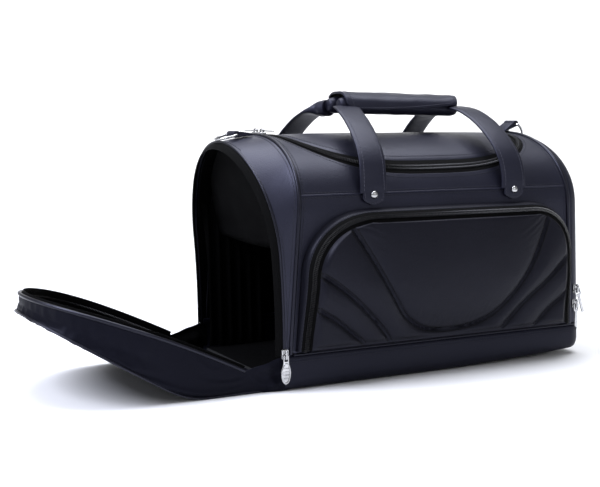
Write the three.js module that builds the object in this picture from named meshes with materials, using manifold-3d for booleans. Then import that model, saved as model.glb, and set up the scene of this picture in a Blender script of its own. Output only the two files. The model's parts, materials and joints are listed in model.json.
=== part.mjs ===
// Golf shoe bag: a boston-style bag with a fold-down shoe flap at its left end.
// Millimetres. X runs along the bag, -Y is the front with the pocket, +Z is up.
// The origin is the centre of the underside. The rest state has the shoe flap folded down
// on the ground, the lid and the pocket zipped, and both handles up.
import * as THREE from "three";
import { mergeVertices } from "three/addons/utils/BufferGeometryUtils.js";
import Module from "manifold-3d";

const wasm = await Module();
wasm.setup();

// ---------------------------------------------------------------- driving dimensions
const HALF_LENGTH = 215; // origin to either end piping, at the ground
const LEFT_LEAN = 0.062; // how far each end piping leans in per mm of height
const RIGHT_LEAN = 0.065;
const HALF_WIDTH = 126;
const BASE_HEIGHT = 41;
const MID_SEAM = 231; // height of the seam that carries the handles
const OPENING_FOOT_X = -219.5; // rim of the shoe opening at the ground
const OPENING_REACH = 26; // how much further out the rim is at its top
const SKIN = 3; // leather with its foam and lining
const SEAM_GAP = 0.6;
const PIPING_R = 2.6;
const PIPING_ROOM = 3.2; // from a piping's centre to the panels beside it
const END_ROUND = 22; // rounding of the right end
const TAPE = 1.6; // zip tape thickness
const TAPE_WIDTH = 9;
const TAPE_GAP = 2.2; // between a tape and the leather edge that it is sewn to

const HINGE_X = -240; // shoe flap hinge
const HINGE_Z = 4.5;
const FLAP_OPEN = 63; // degrees between the closed flap and the flap on the ground
const FLAP_REACH = 95; // length of the flap's part that lies on the ground
const FLAP_BEND = 31; // degrees between that part and the rest

const HANDLE_PIVOT_Z = 240.5;
const HANDLE_PIVOT_Y = 131;
const STRAP_X = [-102, 109]; // where the straps meet the mid seam
const STRAP_WIDTH = 38;
const STRAP_THICK = 4;
const GRIP_X = [-84, 98];
const GRIP_Y = 14.5;
const GRIP_Z = [337, 333]; // at its two ends
const GRIP_R = 11.5;

const POCKET_FOOT = 47; // bottom of the front pocket
const POCKET_TOP = 212;
const POCKET_DEPTH = 22;

// Cross-sections: straight walls up to the shoulder, then a superellipse over the crown.
const MAIN = { half: HALF_WIDTH, flare: 0.0145, shoulder: 209, top: 299, power: 2.15, foot: 44.8 };
const RIM = { half: 126, flare: 0, shoulder: 162, top: 291, power: 1.97, foot: BASE_HEIGHT + 0.8 };
const RIM_INNER = { ...RIM, half: 117, top: 282, shoulder: 160 };
const FLAP_RIM = { half: 120, flare: 0, shoulder: 158, top: 283, power: 1.97, foot: BASE_HEIGHT };
const FLAP_EDGE = { half: 117, flare: 0, shoulder: 156, top: 278, power: 2, foot: 9 };

// ---------------------------------------------------------------- materials
function material(color, roughness, metalness = 0) {
  return () => new THREE.MeshStandardMaterial({ color, roughness, metalness });
}
const leather = material(0x1b1b24, 0.45);
const navyLeather = material(0x14141f, 0.5);
const pocketLeather = material(0x222226, 0.55);
const piping = material(0x0b0b0e, 0.4);
const zipTape = material(0x08080a, 0.8);
const lining = material(0x060607, 0.9);
const board = material(0x2a2a2c, 0.9);
const foam = material(0x303034, 1.0);
const nickel = material(0xc9c9c6, 0.22, 1.0);

// ---------------------------------------------------------------- geometry helpers
const lerp = THREE.MathUtils.lerp;
const steps = (n) => Array.from({ length: n + 1 }, (_, i) => i / n);
const vec = (x, y, z) => new THREE.Vector3(x, y, z);

function toGeometry(positions, triangles) {
  const geometry = new THREE.BufferGeometry();
  geometry.setAttribute("position", new THREE.Float32BufferAttribute(positions, 3));
  geometry.setIndex(triangles);
  return geometry;
}

function signedVolume(points, triangles) {
  let total = 0;
  for (let i = 0; i < triangles.length; i += 3) {
    const [a, b, c] = [points[triangles[i]], points[triangles[i + 1]], points[triangles[i + 2]]];
    total += a.dot(vec(0, 0, 0).crossVectors(b, c));
  }
  return total / 6;
}

function closedBody(points, triangles) {
  const outward = signedVolume(points, triangles) > 0;
  const turned = outward ? triangles : triangles.toReversed();
  return toGeometry(points.flatMap((p) => [p.x, p.y, p.z]), turned);
}

// A sheet of the given thickness behind a grid of points: rows[i][j], thickened along its normals.
// With ring true the grid also joins its last column to its first. inward gives the direction of
// thickening at a point where the grid is too coarse to tell.
function sheet(rows, thickness, { ring = false, inward = null } = {}) {
  const rowCount = rows.length;
  const columns = rows[0].length;
  const at = (i, j) => {
    const row = rows[THREE.MathUtils.clamp(i, 0, rowCount - 1)];
    return row[ring ? (j + columns) % columns : THREE.MathUtils.clamp(j, 0, columns - 1)];
  };
  const front = [];
  const back = [];
  for (let i = 0; i < rowCount; i++) {
    for (let j = 0; j < columns; j++) {
      const along = at(i, j + 1).clone().sub(at(i, j - 1));
      const across = at(i + 1, j).clone().sub(at(i - 1, j));
      const normal = inward ? inward(at(i, j)) : along.cross(across).normalize();
      front.push(at(i, j).clone());
      back.push(at(i, j).clone().addScaledVector(normal, thickness));
    }
  }
  const points = [...front, ...back];
  const depth = front.length;
  const index = (i, j) => i * columns + (ring ? j % columns : j);
  const triangles = [];
  const quad = (a, b, c, d) => triangles.push(a, b, c, a, c, d);
  const lastColumn = ring ? columns : columns - 1;
  for (let i = 0; i + 1 < rowCount; i++) {
    for (let j = 0; j < lastColumn; j++) {
      const [a, b, c, d] = [index(i, j), index(i, j + 1), index(i + 1, j + 1), index(i + 1, j)];
      quad(a, b, c, d);
      quad(a + depth, d + depth, c + depth, b + depth);
    }
  }
  for (let j = 0; j < lastColumn; j++) {
    const [a, b] = [index(0, j), index(0, j + 1)];
    const [c, d] = [index(rowCount - 1, j), index(rowCount - 1, j + 1)];
    quad(b, a, a + depth, b + depth);
    quad(c, d, d + depth, c + depth);
  }
  for (let i = 0; !ring && i + 1 < rowCount; i++) {
    const [a, b] = [index(i, 0), index(i + 1, 0)];
    const [c, d] = [index(i, columns - 1), index(i + 1, columns - 1)];
    quad(a, b, b + depth, a + depth);
    quad(d, c, c + depth, d + depth);
  }
  return closedBody(points, triangles);
}

function circle(radius, sides) {
  const shape = new THREE.Shape();
  steps(sides).slice(0, -1).forEach((t, i) => {
    const angle = t * 2 * Math.PI;
    const [x, y] = [radius * Math.cos(angle), radius * Math.sin(angle)];
    if (i === 0) shape.moveTo(x, y);
    else shape.lineTo(x, y);
  });
  shape.closePath();
  return shape;
}

function tube(points, radius, sides = 6, segments = 24) {
  const path = new THREE.CatmullRomCurve3(points, false, "centripetal");
  const options = { steps: segments, bevelEnabled: false, extrudePath: path };
  return new THREE.ExtrudeGeometry(circle(radius, sides), options);
}

// A closed ring of wire along points that lie in the plane x = 0.
function wireRing(points, radius, sides = 8) {
  const rows = steps(sides).slice(0, -1).map((t) => {
    const angle = t * 2 * Math.PI;
    return points.map((p, i) => {
      const next = points[(i + 1) % points.length];
      const last = points[(i + points.length - 1) % points.length];
      const tangent = next.clone().sub(last).normalize();
      const side = vec(0, -tangent.z, tangent.y).multiplyScalar(radius * Math.cos(angle));
      return p.clone().add(side).add(vec(radius * Math.sin(angle), 0, 0));
    });
  });
  const columns = points.length;
  const triangles = [];
  for (let i = 0; i < sides; i++) {
    for (let j = 0; j < columns; j++) {
      const next = (j + 1) % columns;
      const below = ((i + 1) % sides) * columns;
      triangles.push(i * columns + j, i * columns + next, below + next);
      triangles.push(i * columns + j, below + next, below + j);
    }
  }
  return closedBody(rows.flat(), triangles);
}

function toSolid(geometry) {
  const bare = geometry.clone();
  bare.deleteAttribute("normal");
  bare.deleteAttribute("uv");
  const merged = mergeVertices(bare, 1e-4);
  const vertProperties = new Float32Array(merged.attributes.position.array);
  const triVerts = new Uint32Array(merged.index.array);
  return new wasm.Manifold(new wasm.Mesh({ numProp: 3, vertProperties, triVerts }));
}

function fromSolid(solid) {
  const mesh = solid.getMesh();
  return toGeometry(Array.from(mesh.vertProperties), Array.from(mesh.triVerts));
}

// An outline in plan, extruded upwards from z0 to z1.
function slab(shape, z0, z1) {
  const options = { depth: z1 - z0, bevelEnabled: false, curveSegments: 5 };
  return new THREE.ExtrudeGeometry(shape, options).translate(0, 0, z0);
}

function mesh(name, geometry, makeMaterial) {
  const made = new THREE.Mesh(geometry, makeMaterial());
  made.name = name;
  return made;
}

// ---------------------------------------------------------------- sections of the bag
function halfWidthAt(section, z) {
  const wide = section.half + section.flare * Math.min(z, section.shoulder);
  if (z <= section.shoulder) return wide;
  const rise = Math.min(1, (z - section.shoulder) / (section.top - section.shoulder));
  return wide * (1 - rise ** section.power) ** (1 / section.power);
}

function heightAt(section, y) {
  const wide = section.half + section.flare * section.shoulder;
  const out = Math.min(1, Math.abs(y) / wide);
  const rise = (1 - out ** section.power) ** (1 / section.power);
  return section.shoulder + (section.top - section.shoulder) * rise;
}

// q runs from -1 at the front foot, through 0 at the crown, to 1 at the back foot.
function sectionPoint(section, q) {
  const side = Math.sign(q);
  const size = Math.abs(q);
  if (size >= 0.5) {
    const z = lerp(section.shoulder, section.foot, (size - 0.5) * 2);
    return { y: side * halfWidthAt(section, z), z };
  }
  const angle = (0.5 - size) * Math.PI;
  const wide = section.half + section.flare * section.shoulder;
  const y = side * wide * Math.cos(angle) ** (2 / section.power);
  const z = section.shoulder + (section.top - section.shoulder) * Math.sin(angle) ** (2 / section.power);
  return { y, z };
}

function qAtHeight(section, z) {
  if (z <= section.shoulder) return 0.5 + (0.5 * (section.shoulder - z)) / (section.shoulder - section.foot);
  const rise = Math.min(1, (z - section.shoulder) / (section.top - section.shoulder));
  return 0.5 - Math.asin(rise ** (section.power / 2)) / Math.PI;
}

// Direction into the bag at a point of the main section.
function intoBag({ y, z }) {
  const wide = MAIN.half + MAIN.flare * MAIN.shoulder;
  const rise = MAIN.top - MAIN.shoulder;
  const up = Math.max(0, z - MAIN.shoulder) / rise;
  const across = (Math.abs(y) / wide) ** (MAIN.power - 1) / wide;
  return vec(0, -Math.sign(y) * across, -(up ** (MAIN.power - 1)) / rise).normalize();
}

// The same point, moved inwards by inset in the plane of the section.
function insetPoint(section, q, inset) {
  const here = sectionPoint(section, q);
  const before = sectionPoint(section, Math.max(-1, q - 0.01));
  const after = sectionPoint(section, Math.min(1, q + 0.01));
  const tangent = new THREE.Vector2(after.y - before.y, after.z - before.z).normalize();
  return { y: here.y + tangent.y * inset, z: here.z - tangent.x * inset };
}

const leftSeam = (z) => -HALF_LENGTH + LEFT_LEAN * z;
const rightSeam = (z) => HALF_LENGTH - RIGHT_LEAN * z;
const openingX = (z) => OPENING_FOOT_X - OPENING_REACH * (z / RIM.top) ** 2.8;

// q values with equal steps on the walls and on the arch.
function arch(wallSteps, archSteps) {
  const front = steps(wallSteps).map((t) => -1 + 0.5 * t);
  const over = steps(archSteps).slice(1).map((t) => -0.5 + t);
  const back = steps(wallSteps).slice(1).map((t) => 0.5 + 0.5 * t);
  return [...front, ...over, ...back];
}

// ---------------------------------------------------------------- main shell
function bodyPoint(s, q) {
  const { y, z } = sectionPoint(MAIN, q);
  return vec(lerp(leftSeam(z) + PIPING_ROOM, rightSeam(z) - PIPING_ROOM, s), y, z);
}

// The lower front or back panel: side is -1 for the front and 1 for the back.
function lowerPanel(name, side) {
  const heights = [MAIN.foot, 130, MAIN.shoulder, 220, MID_SEAM - SEAM_GAP];
  const rows = heights.map((z) => steps(4).map((s) => bodyPoint(s, side * qAtHeight(MAIN, z))));
  return mesh(name, sheet(rows, side * SKIN), leather);
}

// Outline of the lid's cut, by angle from its left end (0) over the front or back to its right end (180).
const LID_CUT = { half: 184, front: 116, back: 104 };
const LID_TEETH = { half: 178, front: 110, back: 99 };
const LID_EDGE = { half: 168.5, front: 101.5, back: 96 };

function lidOutline(outline, side, degrees) {
  const power = side < 0 ? 3.2 : 6;
  const reach = side < 0 ? outline.front : outline.back;
  const angle = THREE.MathUtils.degToRad(degrees);
  const x = -outline.half * Math.sign(Math.cos(angle)) * Math.abs(Math.cos(angle)) ** (2 / power);
  const y = side * reach * Math.abs(Math.sin(angle)) ** (2 / power);
  return { x, y };
}

const CUT_ANGLES = {
  front: steps(20).map((t) => 180 * t),
  back: [0, 1, 4, 12, 25, 45, 90, 135, 155, 168, 176, 179, 180],
};

function lidPlan(outline) {
  const front = CUT_ANGLES.front.map((angle) => lidOutline(outline, -1, angle));
  const back = CUT_ANGLES.back.slice(1, -1).map((angle) => lidOutline(outline, 1, angle));
  return new THREE.Shape([...front, ...back.toReversed()].map(({ x, y }) => new THREE.Vector2(x, y)));
}

// The yoke runs from the mid seam up to the crown and is cut out for the lid.
function yoke(name, side) {
  const low = qAtHeight(MAIN, MID_SEAM + SEAM_GAP);
  const crown = 0.004;
  const rows = steps(9).map((v) => steps(6).map((s) => bodyPoint(s, side * lerp(low, crown, v))));
  const whole = toSolid(sheet(rows, SKIN, { inward: intoBag }));
  const cut = toSolid(slab(lidPlan(LID_CUT), MID_SEAM - 10, MAIN.top + 10));
  return mesh(name, fromSolid(whole.subtract(cut)), leather);
}

function onCrown(x, y) {
  return vec(x, y, heightAt(MAIN, y));
}

function lidPanel() {
  const rows = steps(12).map((t) => {
    const angle = lerp(8, 172, t);
    const front = lidOutline(LID_EDGE, -1, angle);
    const reach = LID_EDGE.back * (1 - (Math.abs(front.x) / LID_EDGE.half) ** 6) ** (1 / 6);
    return steps(10).map((v) => onCrown(front.x, lerp(front.y, reach, v)));
  });
  return mesh("lid_panel", sheet(rows, SKIN, { inward: intoBag }), leather);
}

// A strip of zip tape between two lid outlines, from the rear left corner round the front.
function lidTape(name, outer, inner) {
  const rearLeft = CUT_ANGLES.back.slice(1, 6).toReversed();
  const rearRight = CUT_ANGLES.back.slice(7, 12).toReversed();
  const stations = [
    ...rearLeft.map((angle) => ({ side: 1, angle })),
    ...CUT_ANGLES.front.map((angle) => ({ side: -1, angle })),
    ...rearRight.map((angle) => ({ side: 1, angle })),
  ];
  const rows = [outer, inner].map((outline) =>
    stations.map(({ side, angle }) => {
      const { x, y } = lidOutline(outline, side, angle);
      return onCrown(x, y);
    }),
  );
  return mesh(name, sheet(rows, TAPE, { inward: intoBag }), zipTape);
}

function shrunk(outline, by) {
  return { half: outline.half - by, front: outline.front - by, back: outline.back - by };
}

function lidHinge() {
  const rows = [90, 98, 108].map((y) =>
    steps(2).map((t) => vec(lerp(-140, 140, t), y, heightAt(MAIN, y) - 6.2)),
  );
  return mesh("lid_hinge", sheet(rows, -1), zipTape);
}

function leftEndBand() {
  const rows = [0, 0.5, 1].map((v) =>
    arch(2, 14).map((q) => {
      const inner = sectionPoint({ ...MAIN, foot: RIM.foot }, q);
      const outer = sectionPoint(RIM, q);
      const x0 = leftSeam(inner.z) - PIPING_ROOM - 0.5;
      return vec(lerp(x0, openingX(outer.z), v), lerp(inner.y, outer.y, v), lerp(inner.z, outer.z, v));
    }),
  );
  return mesh("left_end_band", sheet(rows, -SKIN), leather);
}

function endZipBodyTape() {
  const rows = [RIM, RIM_INNER].map((section, i) =>
    arch(2, 14).map((q) => {
      const { y, z } = sectionPoint(section, q);
      const outer = sectionPoint(RIM, q);
      return vec(openingX(outer.z) - (i === 0 ? TAPE_GAP : TAPE_WIDTH), y, z);
    }),
  );
  return mesh("end_zip_body_tape", sheet(rows, -TAPE), zipTape);
}

function rightEndBand() {
  const turns = [0, 30, 60, 80];
  const rows = turns.map((turn) => {
    const angle = THREE.MathUtils.degToRad(turn);
    return arch(2, 14).map((q) => {
      const { y, z } = insetPoint(MAIN, q, END_ROUND * (1 - Math.cos(angle)));
      const seamHeight = sectionPoint(MAIN, q).z;
      return vec(rightSeam(seamHeight) + PIPING_ROOM + END_ROUND * Math.sin(angle), y, z);
    });
  });
  return mesh("right_end_band", sheet(rows, SKIN), leather);
}

function rightEndPanel() {
  const qs = steps(8).map((t) => lerp(1, 0.06, t));
  const rows = qs.map((q) => {
    const { y, z } = insetPoint(MAIN, q, END_ROUND + PIPING_ROOM + 1);
    const x = rightSeam(sectionPoint(MAIN, q).z) + PIPING_ROOM + END_ROUND;
    return steps(6).map((t) => {
      const side = lerp(-1, 1, t);
      const dome = 5 * (1 - side * side) * Math.sin(Math.PI * Math.min(1, (1 - q) * 1.2 + 0.1));
      return vec(x + Math.max(0, dome), side * y, z);
    });
  });
  return mesh("right_end_panel", sheet(rows, -SKIN), leather);
}

function endPiping(name, seam, inset, shift) {
  const points = arch(3, 16).map((q) => {
    const { y, z } = insetPoint(MAIN, q, inset);
    return vec(seam(sectionPoint(MAIN, q).z) + shift, y, z);
  });
  return mesh(name, tube(points, PIPING_R, 6, 40), piping);
}

function basePlan(inset, leftX) {
  const right = HALF_LENGTH + END_ROUND - 1 - inset;
  const half = HALF_WIDTH - inset;
  const round = 30 - inset;
  const shape = new THREE.Shape();
  shape.moveTo(leftX, -half);
  shape.lineTo(right - round, -half);
  shape.absarc(right - round, -half + round, round, -Math.PI / 2, 0, false);
  shape.absarc(right - round, half - round, round, 0, Math.PI / 2, false);
  shape.lineTo(leftX, half);
  shape.closePath();
  return shape;
}

function basePanel() {
  const outer = toSolid(slab(basePlan(0, -218), 0, BASE_HEIGHT));
  const hollow = toSolid(slab(basePlan(SKIN, -230), SKIN, BASE_HEIGHT + 10));
  return mesh("base_panel", fromSolid(outer.subtract(hollow)), navyLeather);
}

function baseBoard() {
  return mesh("base_board", slab(basePlan(SKIN + 1, -214), SKIN + 0.4, SKIN + 3.4), board);
}

function basePiping() {
  const [half, right, round] = [HALF_WIDTH - 0.6, HALF_LENGTH + END_ROUND - 2, 30];
  const z = BASE_HEIGHT + 2;
  const straight = [-208, -100, 0, 100].map((x) => vec(x, -half, z));
  const corner = steps(4).map((t) => {
    const angle = ((t - 1) * Math.PI) / 2;
    return vec(right - round + round * Math.cos(angle), -half + round + round * Math.sin(angle), z);
  });
  const front = [...straight, ...corner];
  const back = front.map((p) => vec(p.x, -p.y, p.z)).toReversed();
  return mesh("base_piping", tube([...front, ...back], 1.3, 6, 48), piping);
}

function mainShell() {
  const shell = new THREE.Group();
  shell.add(basePanel(), baseBoard(), basePiping());
  shell.add(lowerPanel("front_panel", -1), lowerPanel("back_panel", 1));
  shell.add(yoke("front_yoke", -1), yoke("back_yoke", 1));
  shell.add(leftEndBand(), rightEndBand(), rightEndPanel(), endZipBodyTape());
  shell.add(endPiping("piping_left", leftSeam, 0, 0));
  shell.add(endPiping("piping_right", rightSeam, 0, 0));
  shell.add(endPiping("piping_right_end", rightSeam, END_ROUND, PIPING_ROOM + END_ROUND));
  shell.add(lidTape("lid_zip_body_tape", shrunk(LID_CUT, TAPE_GAP), LID_TEETH), lidHinge());
  return shell;
}

function lid() {
  const group = new THREE.Group();
  group.add(lidPanel());
  group.add(lidTape("lid_zip_tape", shrunk(LID_TEETH, 1), shrunk(LID_EDGE, -TAPE_GAP)));
  return group;
}

// ---------------------------------------------------------------- inside
function shoeDivider() {
  const stations = [
    { x: -228, z: 278, half: 44 },
    { x: -218, z: 240, half: 88 },
    { x: -200, z: 188, half: 112 },
    { x: -176, z: 158, half: 120 },
    { x: -40, z: 153, half: 121 },
    { x: 90, z: 150, half: 121 },
    { x: 108, z: 136, half: 121 },
    { x: 112, z: 70, half: 120 },
    { x: 113, z: 8, half: 119 },
  ];
  const rows = stations.map(({ x, z, half }) => steps(4).map((t) => vec(x, lerp(-half, half, t), z)));
  return mesh("shoe_divider", sheet(rows, 2), lining);
}

// ---------------------------------------------------------------- front pocket
function pocketDepth(z) {
  return lerp(13, POCKET_DEPTH, THREE.MathUtils.smoothstep(z, POCKET_FOOT, 130));
}

// Half an arch outline at t from 0 at the foot to 1 at the middle of the top.
function pocketArch(inset, legSteps, cornerSteps) {
  const corner = (footX, lean, width, height, side) => {
    const points = [];
    const springZ = POCKET_TOP - height;
    for (const t of steps(legSteps).slice(0, -1)) {
      const z = lerp(POCKET_FOOT + inset * 0.12, springZ, t);
      points.push({ x: side * (footX - inset - lean * z), z });
    }
    for (const t of steps(cornerSteps)) {
      const angle = (t * Math.PI) / 2;
      const reach = side * (footX - lean * springZ);
      const turn = Math.cos(angle) ** 0.9;
      points.push({
        x: reach - side * (width - (width - inset) * turn),
        z: springZ + (height - inset) * Math.sin(angle) ** 0.9,
      });
    }
    return points;
  };
  const left = corner(208, 0.07, 95, 82, -1);
  const right = corner(211, 0.075, 72, 74, 1);
  const top = steps(4).slice(1, -1).map((t) => ({ x: lerp(-108, 130, t), z: POCKET_TOP - inset }));
  return [...left, ...top, ...right.toReversed()];
}

function pocketPoint(point, raise) {
  return vec(point.x, -halfWidthAt(MAIN, point.z) - raise * pocketDepth(point.z), point.z);
}

function pocketRim() {
  const rings = [
    { inset: 0, raise: 0.05 },
    { inset: 2.5, raise: 0.5 },
  ];
  const rows = rings.map(({ inset, raise }) => {
    const points = pocketArch(inset, 3, 6);
    const ends = [points.at(-1), points[0]];
    const floor = steps(4).slice(1, -1).map((t) => ({ x: lerp(ends[0].x, ends[1].x, t), z: ends[0].z }));
    return [...points, ...floor].map((p) => pocketPoint(p, raise));
  });
  return mesh("pocket_rim", sheet(rows, -1.8, { ring: true }), leather);
}

function pocketTape(name, outer, inner) {
  const rows = [outer, inner].map(({ inset, raise }) =>
    pocketArch(inset, 3, 6).map((p) => pocketPoint(p, raise)),
  );
  return mesh(name, sheet(rows, -TAPE), zipTape);
}

function pocketPanel() {
  const outline = pocketArch(15, 3, 6);
  const middle = Math.floor(outline.length / 2);
  const count = Math.min(middle, outline.length - 1 - middle);
  const pairs = [];
  for (let i = 0; i < outline.length - count; i++) {
    const left = outline[i];
    const right = outline[outline.length - 1 - i];
    if (right.x - left.x > 150) pairs.push({ left, right });
  }
  const rows = pairs.map(({ left, right }) =>
    steps(8).map((t) => {
      const p = { x: lerp(left.x, right.x, t), z: lerp(left.z, right.z, t) };
      const puff = 0.28 * Math.sin(Math.PI * t) ** 0.5 * Math.sin((Math.PI * (p.z - 30)) / 190);
      return pocketPoint(p, 1 + Math.max(0, puff));
    }),
  );
  return mesh("pocket_panel", sheet(rows, -SKIN), pocketLeather);
}

function pocketBody() {
  const group = new THREE.Group();
  group.add(pocketPanel());
  group.add(pocketTape("pocket_zip_inner", { inset: 8.4, raise: 0.87 }, { inset: 14, raise: 0.98 }));
  return group;
}

function pocketRoot() {
  const group = new THREE.Group();
  group.add(pocketRim());
  group.add(pocketTape("pocket_zip_outer", { inset: 3.2, raise: 0.56 }, { inset: 7.4, raise: 0.83 }));
  return group;
}

// ---------------------------------------------------------------- shoe flap
// It is drawn closed, with the hinge at the origin of its group, and then turned open.
function flapSide(offset) {
  const points = [];
  const length = 300;
  const step = 5;
  const heading = (s) => {
    const bent = THREE.MathUtils.smoothstep(s, FLAP_REACH - 35, FLAP_REACH + 35);
    return THREE.MathUtils.degToRad(180 - FLAP_OPEN - FLAP_BEND * bent);
  };
  let [x, z] = [0, 0];
  for (let s = 0; s <= length; s += step) {
    const angle = heading(s);
    points.push({ x: x - offset * Math.sin(angle), z: z + offset * Math.cos(angle) });
    x += step * Math.cos(angle);
    z += step * Math.sin(angle);
  }
  return points;
}

function sideX(profile, z) {
  const i = Math.max(1, profile.findIndex((p) => p.z >= z));
  const [a, b] = [profile[i - 1], profile[i]];
  return lerp(a.x, b.x, (z - a.z) / (b.z - a.z));
}

const FLAP_SKIN_OFFSET = 3.5; // the flap's outer face lies this far outside the hinge axis
const outerSide = flapSide(FLAP_SKIN_OFFSET);

function flapEdgePoint(q) {
  const { y, z } = sectionPoint(FLAP_EDGE, q);
  return vec(sideX(outerSide, z - HINGE_Z), y, z - HINGE_Z);
}

function flapRimPoint(q, inset = 0, further = 0) {
  const { y, z } = insetPoint(FLAP_RIM, q, inset);
  const x = openingX(sectionPoint(FLAP_RIM, q).z) - TAPE_WIDTH - 3 - HINGE_X;
  return vec(x - further, y, z - HINGE_Z);
}

function flapWall() {
  const qs = arch(4, 14);
  const rows = [0, 0.5, 1].map((v) => qs.map((q) => flapEdgePoint(q).lerp(flapRimPoint(q), v)));
  return mesh("flap_wall", sheet(rows, SKIN), navyLeather);
}

function flapZipTape() {
  const qs = arch(4, 14);
  const rows = [0, TAPE_WIDTH - 4].map((further) => qs.map((q) => flapRimPoint(q, SKIN + 2.3, further)));
  return mesh("flap_zip_tape", sheet(rows, -TAPE), zipTape);
}

// A sheet that fills the flap's outline, deep mm inside its outer face.
function flapLayer(name, deep, thickness, margin, makeMaterial) {
  const side = flapSide(FLAP_SKIN_OFFSET - deep);
  const heights = [0, 0.12, 0.24, 0.32, 0.42, 0.56, 0.7, 0.82, 0.91, 0.97];
  const rows = heights.map((t) => {
    const z = lerp(FLAP_EDGE.foot + margin * 0.4, FLAP_EDGE.top - margin, t);
    const half = halfWidthAt(FLAP_EDGE, z + margin * 0.6) - margin;
    return steps(4).map((v) => vec(sideX(side, z - HINGE_Z), lerp(-half, half, v), z - HINGE_Z));
  });
  return mesh(name, sheet(rows, thickness), makeMaterial);
}

function flap() {
  const group = new THREE.Group();
  group.position.set(HINGE_X, 0, HINGE_Z);
  group.rotation.y = -THREE.MathUtils.degToRad(FLAP_OPEN);
  group.add(flapWall(), flapZipTape());
  group.add(flapLayer("flap_panel", 0, 1.8, 4.4, navyLeather));
  group.add(flapLayer("flap_stiffener", 2.6, 3, 5, foam));
  group.add(flapLayer("flap_lining", 6.4, 1.2, 5, lining));
  return group;
}

function flapHinge() {
  const strip = new THREE.BoxGeometry(16, 214, 1.6);
  return mesh("flap_hinge", strip.translate(-227.2, 0, 1.6), lining);
}

// ---------------------------------------------------------------- handles
// The strap's outer face from its pivot up over the shoulder to the grip, at the front.
const STRAP_PATH = [
  [1.5, 2.0],
  [-1, 14],
  [-6, 29],
  [-17, 45],
  [-35, 62],
  [-58, 78],
  [-81, 89],
  [-96.5, 93.5],
];

function strap(name, side, x, gripX) {
  const mid = STRAP_PATH.length - 1;
  const rows = STRAP_PATH.map(([inwards, up], i) => {
    const centre = lerp(x, gripX, (i / mid) ** 1.8);
    const half = (STRAP_WIDTH / 2) * (1 - 0.12 * (i / mid));
    const y = side * (HANDLE_PIVOT_Y + inwards);
    return [-1, 1].map((edge) => vec(centre + edge * half, y, HANDLE_PIVOT_Z + up));
  });
  return mesh(name, sheet(rows, side * STRAP_THICK), leather);
}

function grip(name, side) {
  const y = side * GRIP_Y;
  const points = steps(4).map((t) => vec(lerp(...GRIP_X, t), y, lerp(...GRIP_Z, t)));
  return mesh(name, tube(points, GRIP_R, 12, 4), leather);
}

function gripWrap() {
  const profile = [
    [-30.6, 336],
    [-28.6, 344],
    [-22.5, 350.5],
    [-14, 353.6],
    [4, 353.6],
    [28, 352.5],
  ];
  const rows = steps(4).map((t) => profile.map(([y, z]) => vec(lerp(-80, 100, t), y, z - 4 * t)));
  return mesh("grip_wrap", sheet(rows, -3.6), leather);
}

function frontHandle() {
  const group = new THREE.Group();
  group.add(strap("front_strap_left", -1, STRAP_X[0], -82), strap("front_strap_right", -1, STRAP_X[1], 97));
  group.add(grip("front_grip", -1), gripWrap());
  return group;
}

function rearHandle() {
  const group = new THREE.Group();
  group.add(strap("rear_strap_left", 1, STRAP_X[0], -82), strap("rear_strap_right", 1, STRAP_X[1], 97));
  group.add(grip("rear_grip", 1));
  return group;
}

// The stitched end of a strap, fixed to the bag below the pivot, and its rivet.
function strapTab(name, side, x) {
  const shape = new THREE.Shape();
  const [half, top, low, corner] = [15, 21, -1, 7];
  shape.moveTo(-half, top);
  shape.lineTo(-half, low + corner);
  shape.quadraticCurveTo(-half, low, -half + corner, low);
  shape.lineTo(half - corner, low);
  shape.quadraticCurveTo(half, low, half, low + corner);
  shape.lineTo(half, top);
  shape.closePath();
  const options = { depth: STRAP_THICK - 1, bevelEnabled: false, curveSegments: 3 };
  const geometry = new THREE.ExtrudeGeometry(shape, options);
  geometry.rotateX(Math.PI / 2);
  geometry.translate(x, side < 0 ? -129.6 : 129.6 + STRAP_THICK - 1, 217.8);
  return mesh(name, geometry, leather);
}

function rivet(name, side, x) {
  const dome = [
    [0, 0],
    [5, 0],
    [4.9, 0.8],
    [3.6, 2],
    [1.9, 2.7],
    [0, 3],
  ].map(([r, h]) => new THREE.Vector2(r, h));
  const geometry = new THREE.LatheGeometry(dome, 12);
  if (side < 0) geometry.rotateX(Math.PI);
  geometry.translate(x, side * 132.95, 229);
  return mesh(name, geometry, nickel);
}

function handleFixings() {
  const group = new THREE.Group();
  const sides = { front: -1, rear: 1 };
  const ends = { left: STRAP_X[0], right: STRAP_X[1] };
  for (const [sideName, side] of Object.entries(sides)) {
    for (const [endName, x] of Object.entries(ends)) {
      group.add(strapTab(`strap_tab_${sideName}_${endName}`, side, x));
      group.add(rivet(`rivet_${sideName}_${endName}`, side, x));
    }
  }
  return group;
}

// ---------------------------------------------------------------- D-rings
const D_RING_BAR_R = 1.7;

// A folded leather loop, drawn in x and z and extruded across the bag.
function dRingTab(name) {
  const shape = new THREE.Shape();
  shape.moveTo(-2, 0);
  shape.lineTo(22, 0);
  shape.lineTo(20, 2.4);
  shape.lineTo(6, 6.4);
  shape.absarc(0, 3.8, 4.6, 0.7, Math.PI * 1.12, false);
  shape.closePath();
  const hole = new THREE.Path();
  hole.absarc(0, 3.8, 2.3, 0, 2 * Math.PI, true);
  shape.holes.push(hole);
  const options = { depth: 22, bevelEnabled: false, curveSegments: 8 };
  const geometry = new THREE.ExtrudeGeometry(shape, options);
  geometry.rotateX(Math.PI / 2);
  return mesh(name, geometry.translate(0, 11, 0), leather);
}

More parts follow.
